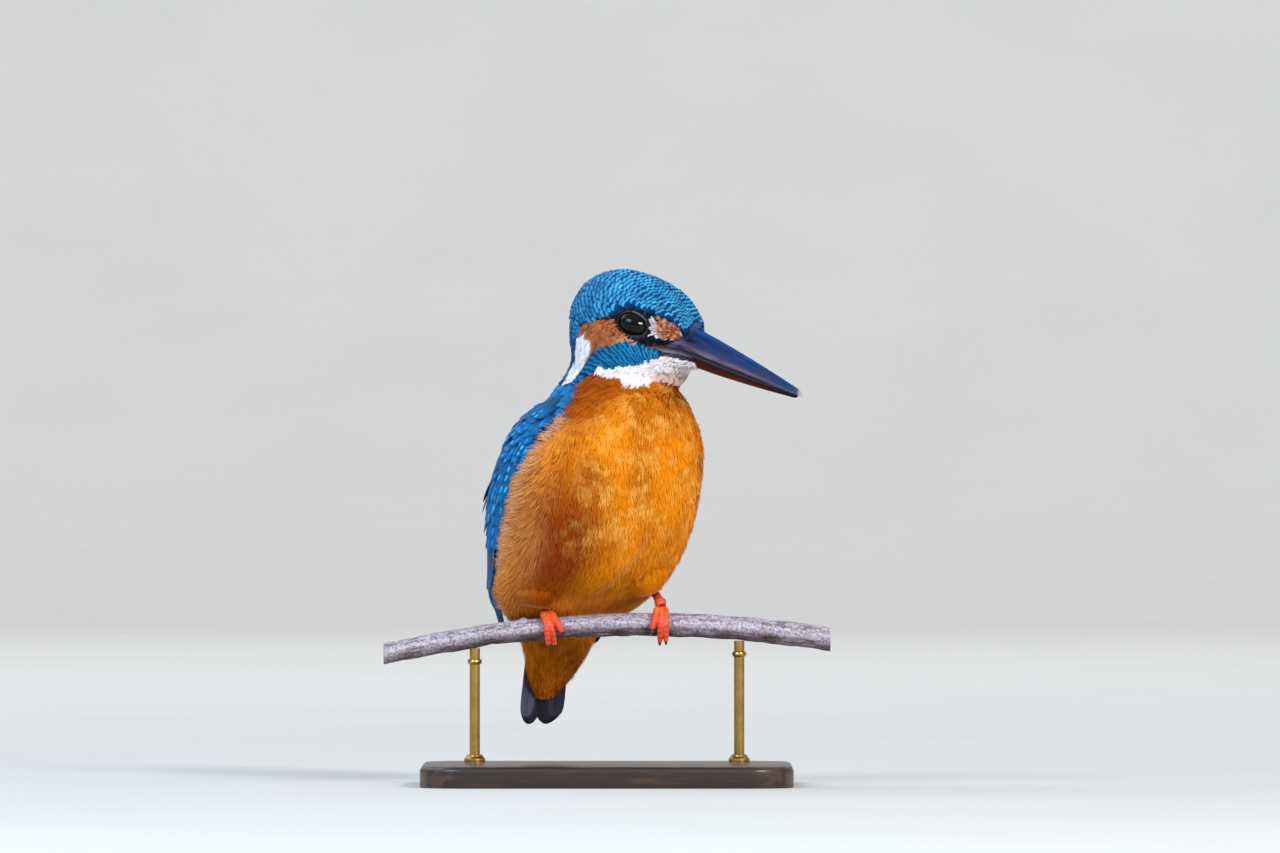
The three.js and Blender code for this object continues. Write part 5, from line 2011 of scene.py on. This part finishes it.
def claws(name, foot, material, s):
    bm = bmesh.new()
    for kind in TOES:
        path = toe_path(foot, kind)
        end = path[-1]
        lead = unit(end - path[-2])
        inward = unit(np.array([end[0], 0, branch_height(end[0])]) - end)
        bent = end + lead * 1.1 + inward * 0.2
        tip = end + lead * 1.9 + inward * 1.3
        tube_of(bm, [end - lead * 0.5, end + lead * 0.4, bent, tip], lambda y: 0.66 - 0.6 * y ** 0.8, 16, 24)
    painted_piece("claws_" + name, bm,
                  lambda points: blend(s.claw, (0.2, 0.12, 0.1), 0.3 + 0.4 * clouds(points, 1, 5)),
                  material, [f"claw_{kind}_{name}" for kind in TOES])


class KINGFISHER_OT_feet(bpy.types.Operator):
    """Shape the short feet, the scaled toes that hold the branch, and their claws"""

    bl_idname = "kingfisher.feet"
    bl_label = "Feet"

    def execute(self, context):
        s = context.scene.kingfisher_bare
        skin = painted_material("foot_skin", 700, 4200, 0.4, 0.55, (0.32, 0.55), 0.12,
                                Subsurface_Weight=0.15, Subsurface_Scale=0.0006, Coat_Weight=0.15)
        horn = painted_material("claw_horn", 900, 4000, 0.4, 0.5, (0.2, 0.35), 0.05, Coat_Weight=0.4)
        for name, foot in FEET.items():
            limbs = [(tarsus_path(foot), TARSUS_RADIUS, through(*TARSUS_GIRTHS), 7, 1)]
            for kind in TOES:
                facing = -1 if kind == "hind" else 1
                limbs.append((toe_path(foot, kind), TOE_RADIUS, through(*TOE_GIRTHS), 11, facing))
            bm = bmesh.new()
            for path, radius, girth, scales, facing in limbs:
                def shape(y, around, n=scales, f=facing):
                    top = np.clip(f * np.cos(around) + 0.35, 0, 1)
                    pad = np.clip(-f * np.cos(around) - 0.1, 0, 1)
                    scute = np.abs(np.sin(np.pi * n * y)) ** 0.6
                    return 0.94 + 0.1 * scute * top + 0.16 * pad * (0.5 - 0.5 * np.cos(8 * np.pi * y))

                tube_of(bm, path, lambda y, r=radius, g=girth: r * g(y), 28, 110, shape)
            painted_piece(
                "foot_" + name, fused(bm, "foot_" + name, 0.14, 1),
                lambda points, held=limbs: foot_tone(points, held, s), skin,
                [part + name for part in ("leg_", "toes_fused_", "toe_inner_", "toe_hind_")],
            )
            claws(name, foot, horn, s)
        return {"FINISHED"}


# ---- perch, stand and stage ----------------------------------------------------------------------

CUT = 0.016  # share of the branch's lines that make each cut face


def bark_surface(x, y):
    around = 2 * np.pi * x
    inwards = np.clip(np.minimum(y, 1 - y) / CUT, 0, 1)
    over = np.clip((y - CUT) / (1 - 2 * CUT), 0, 1)
    at = (2 * over - 1) * BRANCH_HALF_LENGTH
    radius = BRANCH_RADIUS + BRANCH_TAPER * at
    flat = np.stack([at, -radius * np.sin(around), radius * np.cos(around)], -1)
    fibre = clouds(flat * (0.14, 1, 1), 0.75, 2)
    lumps = clouds(flat * (0.6, 1, 1), 2.6, 3)
    cracks = np.clip(clouds(flat * (0.3, 1, 1), 1.1, 4) - 0.35, 0, 1)
    under = ramp(-np.cos(around), 0.1, 0.6)
    seam = 0.16 * np.exp(-((around - 1.35 - 0.1 * lumps) / 0.13) ** 2)
    bud = np.exp(-((at + 23.5) / 1.1) ** 2 - ((np.angle(np.exp(1j * (around - 0.2)))) / 0.34) ** 2)
    scar = np.exp(-((at - 39) / 0.8) ** 2) * (0.6 + 0.4 * np.cos(around))
    relief = 0.07 * fibre + 0.11 * lumps - 0.22 * cracks + seam + 0.75 * bud + 0.14 * scar
    relief = relief * (1 + 0.9 * under) - 0.1
    radius = (radius + relief) * np.clip(inwards, 0.01, 1)
    return np.stack([at, -radius * np.sin(around), branch_height(at) + radius * np.cos(around)], -1)


def branch_tone(points, s):
    x = points[:, 0]
    height = branch_height(x)
    up = points[:, 2] - height
    around = np.arctan2(-points[:, 1], up)
    radius = np.hypot(points[:, 1], up)
    flat = points - np.stack([0 * x, 0 * x, height], -1)
    streaks = clouds(flat * (0.2, 1, 1), 0.5, 6)
    patches = clouds(flat * (0.5, 1, 1), 3, 7)
    cracks = clouds(flat * (0.3, 1, 1), 1.1, 4)
    ridge = np.exp(-((around - 1.35) / 0.16) ** 2)
    tint = layered(
        s.bark, (s.bark_olive, 0.35 * ramp(patches, 0.2, 0.8)),
        (s.bark_dark, 0.08 + 0.25 * streaks - 0.1 * patches),
        # Darker bark in the fissures, deepened as painted shade there.
        (s.bark_dark, 0.6 * ramp(cracks, 0.45, 0.8)),
        ((0.02, 0.015, 0.02), 0.75 * ramp(clouds(flat, 0.4, 8), 0.5, 0.75)),
        # A painted highlight along the raised seam of the bark.
        ((0.8, 0.75, 0.85), 0.55 * ridge * (0.6 + 0.6 * streaks)),
        # Painted shade on the underside of the branch.
        (s.bark_brown_and_shade, ramp(np.abs(around), 1.5, 2.1) * (0.75 + 0.3 * patches)),
    )
    cut = (np.abs(x) > BRANCH_HALF_LENGTH - 0.01) & (radius < BRANCH_RADIUS - 0.3)
    rings = 0.5 + 0.5 * np.sin(radius[cut] * 9)
    tint[cut] = blend(s.pith, s.bark_brown_and_shade, 0.45 * rings)
    return tint


class KINGFISHER_OT_perch(bpy.types.Operator):
    """Make the cut length of branch, with its bark, its bud and its cut ends"""

    bl_idname = "kingfisher.perch"
    bl_label = "Perch"

    def execute(self, context):
        s = context.scene.kingfisher_perch
        bm = bmesh.new()
        sheet_of(bm, 100, 520, bark_surface, close=True)
        bark = painted_material("bark_weathered", 1500, 4200, 0.75, 0.35, (0.6, 0.95), 0.3)
        painted_piece("branch", close_ends(bm), lambda points: branch_tone(points, s), bark,
                      ("perch",))
        return {"FINISHED"}


def turned(part, name, profile, x, material):
    """Spin a profile of radius and height about an upright line at x, in place of a solid."""
    bm = bmesh.new()
    made = [bm.verts.new(((x + radius) * MM, 0, height * MM)) for radius, height in profile]
    edges = [bm.edges.new(pair) for pair in zip(made, made[1:])]
    bmesh.ops.spin(bm, geom=made + edges, cent=(x * MM, 0, 0), axis=(0, 0, 1), angle=2 * math.pi,
                   steps=48, use_merge=True)
    bmesh.ops.remove_doubles(bm, verts=bm.verts, dist=1e-6)
    mesh = mesh_of(turned_outwards(bm), part, material, False)
    finish_piece(f"stand_{part}_turned_{name}", mesh, (f"stand_{part}_{name}",))


def stand_base(s):
    low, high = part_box("stand_base")
    size = high - low
    bm = bmesh.new()
    bmesh.ops.create_cube(bm, size=1)
    bmesh.ops.scale(bm, vec=size, verts=bm.verts)
    bmesh.ops.translate(bm, vec=(low + high) / 2, verts=bm.verts)

    def round_off(chosen, radius, segments):
        edges = [e for e in bm.edges if chosen(*(v.co.z for v in e.verts))]
        bmesh.ops.bevel(bm, geom=edges, offset=radius * MM, segments=segments, profile=0.5,
                        affect="EDGES", material=-1)

    round_off(lambda a, b: abs(a - b) > size.z / 2, 12, 12)
    round_off(lambda a, b: min(a, b) > high.z - 1e-6, 1.5, 5)
    round_off(lambda a, b: max(a, b) < low.z + 1e-6, 0.4, 2)
    mesh = mesh_of(bm, "base", walnut_wood(s))
    mesh.set_sharp_from_angle(angle=math.radians(40))
    finish_piece("stand_base_wood", mesh, ("stand_base",))


def walnut_wood(s):
    made, tree, shader, group = mottled_material(
        "walnut_oiled", s.walnut, s.walnut_dark, 90, 1400, 0.55, (0.3, 0.5), 0.05,
        Coat_Weight=0.25, Coat_Roughness=0.3,
    )
    where = put(tree, "ShaderNodeTexCoord").outputs["Object"]
    laid = put(tree, "ShaderNodeMapping", inputs={"Vector": where, "Scale": (0.09, 1, 1)}).outputs[0]
    grain = texture(tree, "Wave", laid, {"wave_type": "BANDS", "bands_direction": "Y"},
                    Scale=70, Distortion=5, Detail=4, Detail_Scale=6)
    pores = texture(tree, "Noise", laid, Scale=2600, Detail=2)
    dark = mix(tree, between(tree, grain, 0.2, 0.9), group.outputs["Colour"], rgba(s.walnut_dark))
    dark = mix(tree, between(tree, pores, 0.58, 0.7, 0, 0.6), dark, (0.01, 0.006, 0.004, 1))
    tree.links.new(dark, shader.inputs["Base Color"])
    return made


class KINGFISHER_OT_stand(bpy.types.Operator):
    """Make the plain wooden base and the brass rods that hold the branch"""

    bl_idname = "kingfisher.stand"
    bl_label = "Stand"

    def execute(self, context):
        s = context.scene.kingfisher_perch
        stand_base(s)
        brass, *_ = mottled_material("brass_aged", s.brass, (0.24, 0.15, 0.06), 260, 3200, 0.35,
                                     (0.22, 0.42), 0.03, Metallic=1)
        for name in ("left", "right"):
            low, high = (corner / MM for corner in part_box("stand_rod_" + name))
            x = (low.x + high.x) / 2
            radius = (high.x - low.x) / 2
            bottom, top = low.z - 1, high.z
            turned("rod", name, [
                (0, bottom), (radius, bottom), (radius, top - 4.2), (radius + 0.45, top - 3.9),
                (radius + 0.6, top - 3.4), (radius + 0.45, top - 2.9), (radius, top - 2.6),
                (radius, top + 0.35), (0, top + 0.35),
            ], x, brass)
            low, high = (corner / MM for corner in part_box("stand_collar_" + name))
            wide = (high.x - low.x) / 2
            shape = ((0, 0), (0.05, 0.3), (0, 0.5), (-0.25, 0.6), (-0.6, 0.75), (-0.8, 0.92))
            curve = [(wide + out, low.z + share * (high.z - low.z)) for out, share in shape]
            turned("collar", name, [(0, low.z), *curve, (radius + 0.3, high.z), (0, high.z)], x, brass)
        return {"FINISHED"}


FLOOR_FRONT = -6000
FLOOR_BACK = 3200
FLOOR_BEND = 1500
FLOOR_WALL = 3000
FLOOR_WIDTH = 16000


def stage_floor(s):
    """A floor that sweeps up into a backdrop, wide enough for a long lens."""
    def at(x, y):
        turn = np.clip((y - 0.6) / 0.25, 0, 1) * np.pi / 2
        wall = np.clip((y - 0.85) / 0.15, 0, 1) * FLOOR_WALL
        back = np.clip(y / 0.6, 0, 1) * (FLOOR_BACK - FLOOR_FRONT) + FLOOR_FRONT
        back = back + FLOOR_BEND * np.sin(turn)
        return np.stack([(x - 0.5) * FLOOR_WIDTH, back, FLOOR_BEND * (1 - np.cos(turn)) + wall], -1)

    bm = bmesh.new()
    sheet_of(bm, 4, 160, at)
    material, *_ = mottled_material("floor_paper", s.floor, [c * 0.93 for c in s.floor], 9, 160,
                                    0.35, (0.75, 0.9), 0.2)
    made = bpy.data.objects.new("floor", mesh_of(turned_outwards(bm), "floor", material))
    bpy.context.scene.collection.objects.link(made)


def stage_light(name, power, size, spot, target, colour_of):
    lamp = bpy.data.lights.new(name, "AREA")
    lamp.energy = power
    lamp.size = size
    lamp.color = colour_of
    made = bpy.data.objects.new(name, lamp)
    bpy.context.scene.collection.objects.link(made)
    made.location = spot
    made.rotation_euler = (target - Vector(spot)).to_track_quat("-Z", "Y").to_euler()


class KINGFISHER_OT_stage(bpy.types.Operator):
    """Set the floor, the soft lights and the camera"""

    bl_idname = "kingfisher.stage"
    bl_label = "Stage"

    def execute(self, context):
        s = context.scene.kingfisher_stage
        scene = context.scene
        scene.view_settings.view_transform = "Standard"
        stage_floor(s)
        low, high = CAD_BOX
        middle = Vector(((low[0] + high[0]) / 2, 0, high[2] * 0.6))
        stage_light("key", s.key, 0.6, (1.35, -2.1, 1.35), middle, (1, 0.93, 0.84))
        stage_light("sky", s.sky, 1.6, (-1.5, 0.9, 1.7), middle, (0.82, 0.9, 1))
        stage_light("window", s.key * 0.4, 0.85, (-1, -1.3, 1.15), middle, (0.55, 0.78, 1))
        stage_light("backdrop", s.backdrop, 2, (0, 1.6, 2.6), Vector((0, 5, 0.4)), (1, 1, 1))
        world = bpy.data.worlds.new("room")
        world.use_nodes = True
        world.node_tree.nodes["Background"].inputs["Color"].default_value = (0.93, 0.95, 1, 1)
        world.node_tree.nodes["Background"].inputs["Strength"].default_value = s.world
        scene.world = world
        lens = bpy.data.cameras.new("camera")
        lens.lens = s.lens
        lens.sensor_width = 36
        lens.clip_end = 50
        camera = bpy.data.objects.new("camera", lens)
        scene.collection.objects.link(camera)
        camera.location = (middle.x + s.aside, -s.distance, low[2] + s.height)
        camera.rotation_euler = (math.pi / 2, 0, 0)
        scene.camera = camera
        return {"FINISHED"}


# ---- panel and registration ----------------------------------------------------------------------

OPERATORS = (
    KINGFISHER_OT_skin, KINGFISHER_OT_head_coat, KINGFISHER_OT_body_coat, KINGFISHER_OT_wings,
    KINGFISHER_OT_tail, KINGFISHER_OT_bill, KINGFISHER_OT_eyes, KINGFISHER_OT_feet,
    KINGFISHER_OT_perch, KINGFISHER_OT_stand, KINGFISHER_OT_stage,
)
SETTINGS = {
    "kingfisher_plumage": PlumageSettings, "kingfisher_bare": BareSettings,
    "kingfisher_perch": PerchSettings, "kingfisher_stage": StageSettings,
}


class KINGFISHER_PT_panel(bpy.types.Panel):
    """Settings and steps of the model"""

    bl_idname = "KINGFISHER_PT_panel"
    bl_label = "Kingfisher"
    bl_space_type = "VIEW_3D"
    bl_region_type = "UI"
    bl_category = "Kingfisher"

    def draw(self, context):
        for operator in OPERATORS:
            self.layout.operator(operator.bl_idname)
        for name in SETTINGS:
            held = getattr(context.scene, name)
            for key in held.__annotations__:
                self.layout.prop(held, key)


def register():
    for made in (*SETTINGS.values(), *OPERATORS, KINGFISHER_PT_panel):
        bpy.utils.register_class(made)
    for name, settings in SETTINGS.items():
        setattr(bpy.types.Scene, name, PointerProperty(type=settings))


def unregister():
    for name in SETTINGS:
        delattr(bpy.types.Scene, name)
    for made in (KINGFISHER_PT_panel, *reversed(OPERATORS), *reversed(SETTINGS.values())):
        bpy.utils.unregister_class(made)


def main():
    register()
    for operator in OPERATORS:
        group, name = operator.bl_idname.split(".")
        getattr(getattr(bpy.ops, group), name)()
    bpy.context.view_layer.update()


if __name__ == "__main__":
    main()
